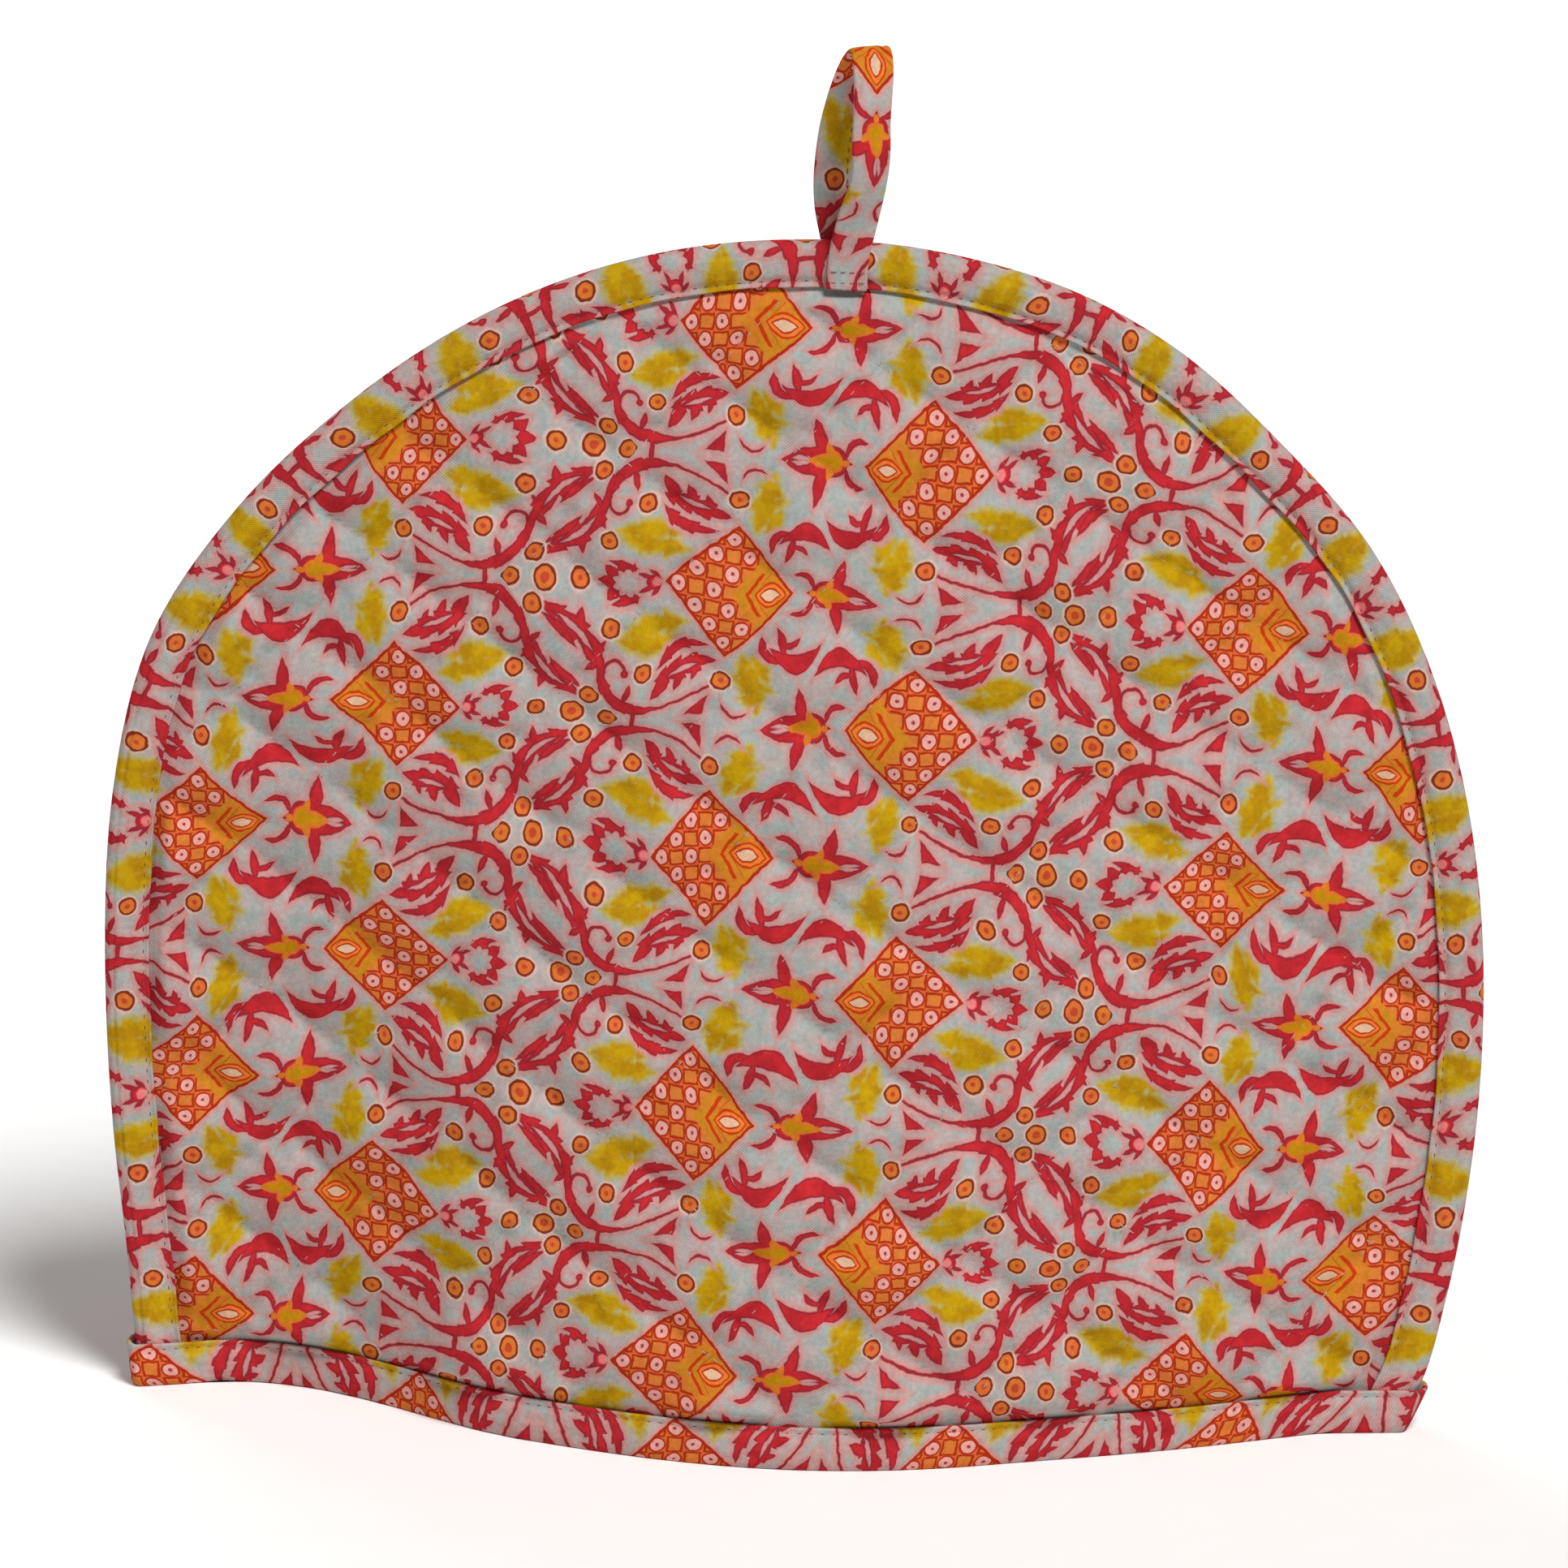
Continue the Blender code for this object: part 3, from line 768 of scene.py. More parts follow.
def mouth_loop(height, end_inset, wrap, play, raised):
    """A closed loop round the mouth: first in front, then behind. It stands at what it wraps plus
    its play, and raised adds the strip's relief where it is 1 and takes it away where it is -1."""
    across, rounding = mouth_stations(height, end_inset)
    middle = swing(across, height)
    loop = []
    for side, order in ((1, slice(None, -1)), (-1, slice(None, 0, -1))):
        relief = strip_relief(BAND - height, BAND, across + OTHER_SIDE * side) * raised
        y = middle - side * (wrap(across, height, side) + play + relief) * rounding
        loop.append(np.stack([across, y, np.full(len(across), height)], axis=1)[order])
    return np.concatenate(loop)


print(f"the mouth is {sum(arch_reach(0.0)) * 1000:.0f} mm wide")

# %% Hem binding


def hem_rails():
    """The section once round: (height, end inset, what it wraps, play, relief)."""
    tip = BAND + HEM_TIP
    full, clear = HEM_CLEAR + FOLD, HEM_CLEAR
    rows = [
        (BAND - 0.0002, -FOLD, outside, clear, 0),
        (BAND, -1.4 * FOLD, outside, clear + 0.4 * FOLD, 0),
        (BAND - 0.0002, -1.8 * FOLD, outside, full - 0.0002, 0),
    ]
    rows += [(h, -2 * FOLD, outside, full, 1) for h in np.linspace(BAND - 0.0006, 0.0014, 14)]
    rows += [
        (0.0007, -1.9 * FOLD, outside, full - 0.0001, 0),
        (0.0002, -1.6 * FOLD, outside, full - 0.0004, 0),
        (0, -1.0 * FOLD, outside, full - 0.0010, 0),
        (0, tip + 0.4 * FOLD, within, 0.0008 - full, 0),
        (0.0002, tip + 0.8 * FOLD, within, 0.0003 - full, 0),
        (0.0008, tip + FOLD, within, -full, 0),
    ]
    rows += [(h, tip + FOLD, within, -full, -1) for h in np.linspace(0.0020, BAND - 0.0006, 7)]
    rows += [
        (BAND - 0.0001, tip + 0.6 * FOLD, within, 0.0004 - full, 0),
        (BAND - 0.0002, tip, within, -clear, 0),
        (0.004, tip, within, -clear, 0),
        (FOLD, tip, within, -clear, 0),
        (FOLD, -FOLD, outside, clear, 0),
        (0.004, -FOLD, outside, clear, 0),
    ]
    return rows


GUIDE = 8  # the rail whose length is the strip's
rails = hem_rails()
loops = np.stack([mouth_loop(*row) for row in rails], axis=1)
guide, section = loops[:, GUIDE], loops[HEM_STEPS // 2]
mouth_run = run_along(np.concatenate([guide, guide[:1]]))
around = run_along(np.concatenate([section, section[:1]]))
hem_binding = make_strip("hem_binding", loops, mouth_run, around, closed=True)
lowest = loops[..., 2].min()
print(f"round the mouth: {mouth_run[-1] * 1000:.0f} mm, lowest point {lowest * 1000:.1f} mm")

# %% Seam stitches of the hem binding
SEAM_START = 0.006  # from the mouth's corners


def hem_seam(side):
    """Ring points of the stitches round one side of the mouth, below the strip's lip."""
    height = BAND - SEAM_IN
    across, _ = mouth_stations(height, -2 * FOLD)
    relief = strip_relief(SEAM_IN, BAND, across + OTHER_SIDE * side)
    y = swing(across, height) - side * (outside(across, height, side) + HEM_CLEAR + FOLD + relief)
    line = np.stack([across, y, np.full(len(y), height)], axis=1)
    run = run_along(line)
    starts = np.arange(SEAM_START, run[-1] - SEAM_START, SEAM_STEP)
    path = at_run(dashes(starts, SEAM_STEP, SEAM_SHARE), run, line)
    return path, unit(np.cross(np.gradient(path, axis=1), (0, 0, side)))


for side, label in SIDES.items():
    make_thread(f"{label}_hem_seam_thread", "hem_binding", *hem_seam(side))

# %% [markdown]
# ## The hanging loop
#
# The loop is a strip folded to a flat tape and sewn along one side. It leaves the front of the
# binding, stands up, turns over at the top and comes down behind, and it twists a little on the way.
# A table gives its centreline and turn, a cubic smooths it, and a rounded section is carried along.

# %% Hanging loop
LOOP_WIDTH = 0.009
LOOP_THICK = 0.0017
LOOP_STEPS, LOOP_ROUND = 220, 36  # faces along the tape and round it
LOOP_SEAM = 0.0014  # from the tape's edge
LOOP_DIP, LOOP_DIP_WIDE = 0.00030, 0.0007  # how deep and wide the seam dips
LOOP_THICKER, LOOP_WIDER = 0.10, 0.03  # how unevenly thick and wide the tape is, as shares
TAPE_SHAPE = (0.35, 0.55)  # powers of the section's width and thickness: 1 is round, 0 a box
LOOP = np.array(
    [
        # (across, back, height, turn in degrees)
        (0.0065, -0.0042, 0.2622, 0),
        (0.0068, -0.0042, 0.2700, 0),
        (0.0085, -0.0062, 0.2790, 12),
        (0.0107, -0.0092, 0.2900, 24),
        (0.0108, -0.0088, 0.3015, 24),
        (0.0108, -0.0048, 0.3118, 24),
        (0.0098, 0.0010, 0.3158, 24),
        (0.0068, 0.0056, 0.3098, 24),
        (0.0040, 0.0086, 0.2985, 24),
        (0.0028, 0.0084, 0.2880, 24),
        (0.0032, 0.0062, 0.2785, 12),
        (0.0052, 0.0042, 0.2700, 0),
        (0.0058, 0.0042, 0.2622, 0),
    ]
)


def loop_frames(steps):
    """The tape's centre, the directions of its width and of its face that looks into the loop, and
    the run along it."""
    knots = np.arange(len(LOOP), dtype=float)
    t = np.linspace(0, knots[-1], steps + 1)
    centre = np.stack([smooth(t, knots, LOOP[:, k]) for k in range(3)], axis=1)
    turn = np.radians(smooth(t, knots, LOOP[:, 3]))
    width = np.stack([np.cos(turn), np.sin(turn), np.zeros(len(t))], axis=1)
    along = unit(np.gradient(centre, axis=0))
    width = unit(width - (width * along).sum(1)[:, None] * along)
    return centre, width, np.cross(along, width), run_along(centre)


def tape_section(count):
    """A flat section once round: the cosine and sine of a circle raised to powers, so its edges are
    round and its faces level."""
    turn = np.linspace(0, 2 * np.pi, count, endpoint=False) + np.pi / count
    round_pair = np.stack([np.cos(turn), np.sin(turn)], axis=1)
    shaped = np.sign(round_pair) * np.abs(round_pair) ** TAPE_SHAPE
    return shaped * (LOOP_WIDTH / 2, LOOP_THICK / 2)


centre, width, face, run = loop_frames(LOOP_STEPS)
section = tape_section(LOOP_ROUND)
wide, thick = section.T
to_seam = (wide - (LOOP_WIDTH / 2 - LOOP_SEAM)) / LOOP_DIP_WIDE
dip = LOOP_DIP * np.exp(-(to_seam**2))
uneven = LOOP_THICKER * soft_waves(run[:, None], wide * 0.2, 0.011)
thickness = thick * (1 + uneven) - np.sign(thick) * np.minimum(dip, np.abs(thick) * 0.5)
pull = 1 + LOOP_WIDER * soft_waves(run[:, None] + 3, 0, 0.017)
points = centre[:, None] + (wide * pull)[..., None] * width[:, None]
points += thickness[..., None] * face[:, None]
around = run_along(np.concatenate([section, section[:1]]))
hanging_loop = make_strip("hanging_loop", points, run, around)
print(f"the tape is {run[-1] * 1000:.0f} mm long")

# %% Stitches of the hanging loop
LOOP_STITCH = 0.0024
LOOP_SUNK = 0.00022  # how deep the seam's dip holds the thread
TACK_MIDDLE, TACK_HALF, TACKS = 0.0066, 0.0030, 4  # across, and stitches in a row
TACK_ROWS = np.array([0.2638, 0.2662])  # heights
TACK_SUNK = 0.00008


def loop_seam():
    """Ring points of the stitches that close the tape along one edge, on the face that looks into
    the loop."""
    count = int(run[-1] / LOOP_STITCH)
    where = dashes((np.arange(2, count - 1) + 0.5) * LOOP_STITCH, LOOP_STITCH, SEAM_SHARE)
    line = centre + width * (LOOP_WIDTH / 2 - LOOP_SEAM) + face * (LOOP_THICK / 2 - LOOP_SUNK)
    return at_run(where, run, line), unit(at_run(where, run, face))


def loop_tack():
    """Short rows that hold the tape's front end on the binding."""
    starts = TACK_MIDDLE + np.linspace(-TACK_HALF, TACK_HALF, TACKS)
    x, z = dashes(starts, LOOP_STITCH, SEAM_SHARE), TACK_ROWS[:, None, None]
    y = LOOP[0, 1] - LOOP_THICK / 2 + TACK_SUNK
    path = np.stack(np.broadcast_arrays(x, y, z), axis=-1).reshape(-1, STITCH_RINGS, 3)
    return path, np.broadcast_to((0.0, -1.0, 0.0), path.shape)


path, out = (np.concatenate(pair) for pair in zip(loop_seam(), loop_tack()))
make_thread("loop_seam_thread", "hanging_loop", path, out)

# %% [markdown]
# ## Shader maths as Python
#
# A pattern of leaves, dots and stars is a long calculation, and wiring hundreds of Math nodes by
# hand would hide it. A small class wraps a node's socket: adding or multiplying two wrapped sockets
# adds the Math node that does it. What is left then reads like ordinary formulas.

# %% A socket that can be calculated with


class Value:
    """A number, vector or colour that a shader works out at every point of a surface."""

    def __init__(self, socket):
        self.socket = socket

    def make(self, kind, inputs, settings=None, output=0):
        """Any other node: its settings first, then the values or links of its sockets."""
        tree = self.socket.id_data
        node = tree.nodes.new(kind)
        for key, value in (settings or {}).items():
            setattr(node, key, value)
        for key, value in inputs.items():
            if isinstance(value, Value):
                tree.links.new(value.socket, node.inputs[key])
            else:
                node.inputs[key].default_value = value
        return Value(node.outputs[output])

    def math(self, operation, *others):
        inputs = dict(enumerate((self, *others)))
        return self.make("ShaderNodeMath", inputs, {"operation": operation})

    def reflected(self, operation, other):
        return self.make("ShaderNodeMath", {0: other, 1: self}, {"operation": operation})

    def __add__(self, other):
        return self.math("ADD", other)

    def __sub__(self, other):
        return self.math("SUBTRACT", other)

    def __mul__(self, other):
        return self.math("MULTIPLY", other)

    def __rsub__(self, other):
        return self.reflected("SUBTRACT", other)

    __radd__, __rmul__ = __add__, __mul__

    def __abs__(self):
        return self.math("ABSOLUTE")

    def scaled(self, factor, more):
        """self times factor plus more, in one node."""
        return self.math("MULTIPLY_ADD", factor, more)

    def least(self, other):
        return self.math("MINIMUM", other)

    def most(self, other):
        return self.math("MAXIMUM", other)

    def over(self, start, end):
        """0 at start and before it, 1 at end and past it, and an eased step between them."""
        inputs = {"Value": self, "From Min": start, "From Max": end}
        return self.make("ShaderNodeMapRange", inputs, {"interpolation_type": "SMOOTHSTEP"})

    def mix(self, low, high):
        """A colour: low where this value is 0 and high where it is 1."""
        settings = {"data_type": "RGBA"}
        return self.make("ShaderNodeMix", {0: self, 6: low, 7: high}, settings, output=2)

    def vector(self, operation, *others, output=0):
        """A calculation on this vector, which can also be three numbers side by side."""
        inputs = dict(enumerate((self, *others)))
        return self.make("ShaderNodeVectorMath", inputs, {"operation": operation}, output)

    def thrice(self):
        """The same number three times, side by side."""
        return self.make("ShaderNodeCombineXYZ", {0: self, 1: self, 2: self})

    def parts(self):
        """The three numbers of a vector."""
        outputs = self.make("ShaderNodeSeparateXYZ", {0: self}).socket.node.outputs
        return [Value(output) for output in outputs]

    def noise(self, scale, detail=2.0, output=0):
        """Soft random values over the cloth: the number, or with output 1 three of them."""
        inputs = {"Vector": self, "Scale": scale, "Detail": detail}
        return self.make("ShaderNodeTexNoise", inputs, {"noise_dimensions": "2D"}, output)


# %% Inks and materials


def ink(red, green, blue):
    """A dye given as it looks on a screen, 0 to 255, turned into light."""
    share = np.array([red, green, blue]) / 255
    light = np.where(share <= 0.04045, share / 12.92, ((share + 0.055) / 1.055) ** 2.4)
    return (*light.tolist(), 1.0)


def new_material(name, roughness, gloss=0.0):
    """A material with no shine but its gloss, its shader, and the piece's UV in metres of cloth."""
    material = bpy.data.materials.new(name)
    material.use_nodes = True
    nodes = material.node_tree.nodes
    shader = nodes["Principled BSDF"]
    shader.inputs["Roughness"].default_value = roughness
    shader.inputs["Specular IOR Level"].default_value = gloss
    cloth = nodes.new("ShaderNodeUVMap")
    cloth.uv_map = "cloth"
    return material, shader, Value(cloth.outputs[0])


def link_inputs(material, shader, values):
    """The material, once these values feed its shader's inputs of these names."""
    for key, value in values.items():
        material.node_tree.links.new(value.socket, shader.inputs[key])
    return material


print("a red dye as light:", [round(c, 3) for c in ink(200, 40, 50)])

# %% [markdown]
# ## The print
#
# The cotton carries an all-over pattern of an ordinary kind: lozenges full of rings, star flowers,
# curled and toothed leaves, and dots. Screens print such a pattern as one block repeated, and
# the block is symmetric: it is mirrored top to bottom, and every second column is turned half round.
# So only a quarter of the block has to be drawn. Every place on the cloth is first folded back into
# that quarter, where all measures are millimetres from the middle of a lozenge.

# %% Folding the repeat
REPEAT_X, REPEAT_Y = 116.3, 58.2  # millimetres of quilted cloth
TURN_MIDDLE = -7.7  # the column's own middle, from the lozenge
TURN_SLANT = (1.035, 0.085)  # slant of the line between columns, and how it differs by side


def folded(x, y):
    """The place in the drawn quarter. y goes up and down between the mirror lines, and beyond a
    slanted line the place is turned half round."""
    half, quarter = REPEAT_X / 2, REPEAT_X / 4
    x = (x - TURN_MIDDLE).math("WRAP", half, -half)
    y = y.math("PINGPONG", REPEAT_Y / 2)
    side = x.math("SIGN")
    slant = side.scaled(TURN_SLANT[1], TURN_SLANT[0])
    beyond = (y - REPEAT_Y / 4).scaled(slant, abs(x))
    turned = beyond.math("GREATER_THAN", quarter)
    back = turned.scaled(-2.0, 1.0)
    x = x.scaled(back, (side * turned).scaled(half, TURN_MIDDLE))
    return x, y.scaled(back, turned * (REPEAT_Y / 2))


print(f"the print repeats every {REPEAT_X:.0f} mm across and {REPEAT_Y:.0f} mm up")

# %% [markdown]
# ### Shapes of the print
#
# Every shape gives a distance in millimetres: positive inside, negative outside. A blade is the
# shape behind most of them. It lies between two points, its width follows a parabola, it can bow to
# one side, and a saw-tooth can bite into it. Vector nodes work on three numbers at once, so blades
# are worked out in threes, and shapes join by taking the larger distance.

# %% Blades and discs


def largest(vector):
    """The largest of three numbers."""
    first, second, third = vector.parts()
    return first.most(second).most(third)


def three_blades(x, y, shapes):
    """Three leaves between two points each: (start, end, half width, bow, blunt, teeth, bite).
    Along one, t runs from 0 to 1, and 4 t (1 - t) shapes both its half width and the bow of its
    middle line to the left. A blunt above 1 keeps that half width even for longer, and teeth bite
    into it. x and y are vectors that hold the same number three times, and so is the distance."""
    rows = []
    for start, end, width, *rest in shapes:
        bow, blunt, teeth, bite = (*rest, *(0, 1, 0, 0)[len(rest) :])
        long = float(np.hypot(end[0] - start[0], end[1] - start[1]))
        ex, ey = (end[0] - start[0]) / long, (end[1] - start[1]) / long
        from_start = -(start[0] * ex + start[1] * ey) / long
        from_line = start[0] * ey - start[1] * ex
        size = 4 * width * blunt
        rows.append((ex / long, ey / long, from_start, -ey, ex, from_line, size, width))
        rows[-1] += (-4 * bow, teeth, -bite)
    column = [tuple(map(float, values)) for values in zip(*rows)]
    t = x.vector("MULTIPLY_ADD", column[0], y.vector("MULTIPLY_ADD", column[1], column[2]))
    s = x.vector("MULTIPLY_ADD", column[3], y.vector("MULTIPLY_ADD", column[4], column[5]))
    hump = t.vector("MULTIPLY", t.vector("MULTIPLY_ADD", (-1.0,) * 3, (1.0,) * 3))
    half = hump.vector("MULTIPLY", column[6]).vector("MINIMUM", column[7])
    if any(column[9]):
        saw = t.vector("MULTIPLY", column[9]).vector("FRACTION")
        half = half.vector("MULTIPLY", saw.vector("MULTIPLY_ADD", column[10], (1.0,) * 3))
    if any(column[8]):
        s = hump.vector("MULTIPLY_ADD", column[8], s)
    return half.vector("SUBTRACT", s.vector("ABSOLUTE"))


def blades(x, y, shapes):
    """Any number of leaves, joined."""
    x, y = x.thrice(), y.thrice()
    best = three_blades(x, y, shapes[:3])
    for k in range(3, len(shapes), 3):
        best = best.vector("MAXIMUM", three_blades(x, y, shapes[k : k + 3]))
    return largest(best)


def reach_from(place, x, y):
    """Distance to a point."""
    return place.vector("DISTANCE", (x, y, 0.0), output=1)


# %% Red shapes
RED_BLADES = [
    # (start, end, half width, bow, blunt, teeth, bite)
    ((17.6, 0.0), (34.2, 0.0), 3.1),  # star
    ((23.8, -1.5), (26.0, 9.0), 1.6, -0.3),
    ((19.6, 0.6), (13.8, 4.6), 0.85, -1.9, 1.9),
    ((22.6, 10.6), (9.2, 11.4), 2.3, -4.4),  # claw
    ((12.6, 15.2), (7.8, 8.8), 1.2, -1.8, 1.4),
    ((13.2, 14.8), (11.4, 7.0), 1.15, 0.4),
    ((11.8, 10.8), (17.2, 9.4), 0.85, 1.4, 1.3),
    ((0.1, 24.4), (6.0, 25.9), 0.5, 2.0, 2.0),  # small crescent
    ((-0.6, 20.2), (-21.0, 27.7), 0.5, -1.3, 3.0),  # thin stem
    ((-1.4, 15.4), (-16.0, 20.2), 2.8, 0.3, 1.1, 4, 0.38),  # leaf beside a lozenge
    ((-12.0, 17.2), (-16.3, 24.4), 1.6, -0.4),
    ((-3.2, 12.2), (-15.6, 18.2), 1.7, 2.4, 1.1, 3, 0.35),
    ((-8.6, 17.4), (-10.8, 22.6), 1.2),
    ((-5.4, 16.6), (-6.8, 20.6), 0.9),
    ((-15.2, 0.8), (-17.8, 3.4), 0.65),  # tulip
    ((-16.0, 0.6), (-20.4, 2.3), 0.7),
    ((-19.4, 3.0), (-27.0, 4.8), 0.95, -0.4),
    ((-22.9, 25.4), (-21.4, 20.2), 0.95),  # spikes on the stem
    ((-12.0, 25.8), (-29.8, 14.0), 1.7, -6.0, 1.2, 3, 0.2),  # thick stem
    ((-27.2, 21.4), (-43.4, 3.8), 2.7, 3.3, 1.1, 4, 0.4),
    ((-42.0, 6.0), (-33.8, 13.6), 1.15, -0.6),
    ((-33.9, 11.0), (-32.7, 4.8), 1.2),
    ((-30.8, 15.6), (-27.8, 11.4), 0.95),
    ((-28.6, 15.6), (-32.0, 18.8), 0.95),
]
VEIN_BLADES = [
    # pale slits in the largest leaves and in the star
    ((-31.2, 13.2), (-37.4, 7.0), 0.44, 0.6),
    ((-6.4, 17.2), (-11.6, 19.0), 0.34, 0.2),
    ((27.8, 0.2), (31.2, 0.4), 0.26, 0.1),
]


def crown(place, x, y):
    """The tulip at the end of a lozenge: a band round a point, with five points outward and a
    zigzag inside, open toward the lozenge."""
    away = x * -1.0 - 22.3
    turn = y.math("ARCTAN2", away)
    zigzag = (turn * (180 / 37 * 2 / np.pi)).math("PINGPONG", 1.0)
    reach = reach_from(place, -22.3, 0.0)
    outer = zigzag.scaled(-1.9, turn.scaled(-0.95, 7.0)) - reach
    inner = reach - zigzag.scaled(0.9, 2.5)
    return outer.least(inner).least(away + 2.4)


def red_shapes(x, y, place):
    """The red part of the print: star flower, claw leaf, toothed leaf, tulip, stem and curl."""
    red = blades(x, y, RED_BLADES)
    red = red.most(3.4 - reach_from(place, 22.2, 0.0))
    red = red.most(1.9 - reach_from(place, -16.7, 0.0))
    red = red.most(crown(place, x, y))
    curl = 0.55 - abs(reach_from(place, -25.4, 17.7) - 2.3)
    red = red.most(curl.least(18.4 - y))
    red = red.most(1.0 - reach_from(place, -23.0, 18.0))
    red = red.most((0.7 - abs(x + 19.8)).least(y - 26.5))
    veins = largest(three_blades(x.thrice(), y.thrice(), VEIN_BLADES))
    red = red.least(veins * -1.0)
    corner = (y * -0.15 - x + 1.1).least(28.1 - y).least(x * 0.66 + y * 0.75 - 15.7)
    return red.most(corner)


print(f"{len(RED_BLADES)} red blades and {len(VEIN_BLADES)} pale slits in them")

# %% Yellow leaves and dots
YELLOW_BLADES = [
    # two soft leaves: one beside a lozenge, and one between it and the star
    ((-25.8, 11.6), (-7.6, 12.6), 2.7, 0.3, 1.2, 3, 0.3),
    ((-24.6, 11.2), (-9.0, 7.2), 2.8, -0.3, 1.2, 3, 0.3),
    ((3.6, 13.0), (7.8, 27.0), 3.3, 0.0, 1.1, 3, 0.3),
    ((0.8, 18.4), (11.2, 21.4), 1.9, 0.3),
    ((5.4, 13.6), (9.6, 20.0), 1.9, -0.6),
    ((-17.0, 9.0), (-13.2, 14.8), 1.6),
]
DOTS = ((-33.0, 0.0), (-48.2, 0.0), (-43.4, 4.8), (-26.8, 9.2), (-18.7, 18.0), (-0.2, 20.1))


def dot_reach(place):
    """Distance to the nearest dot's middle. The larger dot is moved in by what it has more."""
    near = reach_from(place, -40.7, 0.0) - 0.4
    for middle in DOTS:
        near = near.least(reach_from(place, *middle))
    return near


print(f"{len(YELLOW_BLADES)} yellow blades and {len(DOTS) + 1} dots")

# %% [markdown]
# ### The lozenge
#
# A lozenge is a net of twelve rings with an eye at one corner. Measured along its own two sides, the
# rings sit on a square grid, so wrapping those two coordinates gives every ring at once. The four
# places nearest the eye stay empty and golden.

# %% Lozenge with rings and an eye
LOZENGE = (14.6, 14.3)  # half its width and height, in millimetres
RING_STEP = 0.505  # as a share of half a side
NET_SHIFT = 0.8  # the net's middle is this far from the lozenge's, away from the eye
EYE_BLADES = [((4.9, 0.0), (13.0, 0.0), 2.5), ((6.4, 0.0), (11.2, 0.0), 1.1), ((0, 0), (1, 0), 0)]


def lozenge_inside(x, y):
    """Distance in from the lozenge's sides."""
    wide, high = LOZENGE
    slope = wide * high / float(np.hypot(wide, high))
    return (abs(x) * (-1 / wide)).scaled(slope, y.scaled(-slope / high, slope))


def net_reach(along, across, shift):
    """Distances right and up from the nearest place of the net."""
    a = along.scaled(1 / RING_STEP, shift).math("WRAP", 0.5, -0.5)
    b = across.scaled(1 / RING_STEP, shift).math("WRAP", 0.5, -0.5)
    wide, high = LOZENGE
    return (a + b) * (RING_STEP * wide / 2), (a - b) * (RING_STEP * high / 2)


def lozenge_colour(x, y, inside, blotch):
    """The lozenge's own colours, from its ground to its outline."""
    wide, high = LOZENGE
    flat = y * (1 / high)
    along = x.scaled(1 / wide, flat) + NET_SHIFT / wide
    across = along - flat * 2.0
    brown = ink(168, 50, 22)
    colour = blotch.mix(ink(214, 98, 58), ink(208, 104, 50))
    right, up = net_reach(along, across, 0.0)
    bar = (abs(right) - 1.45).most(abs(up) - 1.2)
    colour = bar.over(0.05, -0.1).mix(colour, ink(208, 118, 54))
    colour = abs(bar - 0.22).over(0.34, 0.14).mix(colour, brown)
    right, up = net_reach(along, across, 0.5)
    reach = (right * right + up * up).math("SQRT")
    colour = reach.over(1.92, 1.72).mix(colour, brown)
    colour = reach.over(1.5, 1.3).mix(colour, ink(222, 160, 150))
    colour = reach.over(0.52, 0.25).mix(colour, ink(150, 60, 62))
    gold = blotch.mix(ink(204, 122, 42), ink(194, 128, 34))
    chevron = abs(y * 0.8 - x + 3.1) - 0.5
    chevron = chevron.least(abs(y * 0.85 - x + 4.9) - 0.1).most(y - 4.4)
    gold = chevron.over(0.15, -0.15).mix(gold, ink(190, 58, 18))
    rim, lens, _ = three_blades(x.thrice(), y.thrice(), EYE_BLADES).parts()
    gold = rim.over(-0.1, 0.1).mix(gold, ink(190, 58, 18))
    gold = rim.over(0.4, 0.6).mix(gold, ink(226, 120, 52))
    gold = lens.over(-0.45, -0.25).mix(gold, ink(176, 52, 22))
    gold = lens.over(-0.05, 0.15).mix(gold, ink(218, 178, 146))
    colour = across.over(-0.03, 0.03).mix(colour, gold)
    return inside.over(0.78, 0.5).mix(colour, ink(170, 42, 24))


print(f"a lozenge is {2 * LOZENGE[0]:.0f} mm wide and {2 * LOZENGE[1]:.0f} mm high")

# %% [markdown]
# ### Inks on cotton
#
# Each ink has a soft edge, because the dye creeps along the threads: red shapes have a pink rim on
# the grey ground and a darker line just inside, and the yellow has bled most. A little noise bends
# all the outlines, as on cloth that was never quite flat, and blotches make each ink uneven.

# %% Colours of the print
BEND, SWAY = 0.6, 4.5  # ranges over which fine and slow noise move the print, in millimetres
HEART_BLADES = [
    # the star's golden inside
    ((19.6, 0.0), (28.2, 0.0), 1.6),
    ((22.4, 0.0), (23.8, 3.8), 0.9),
    ((20.5, 0.0), (18.4, 0.4), 0.5),
]


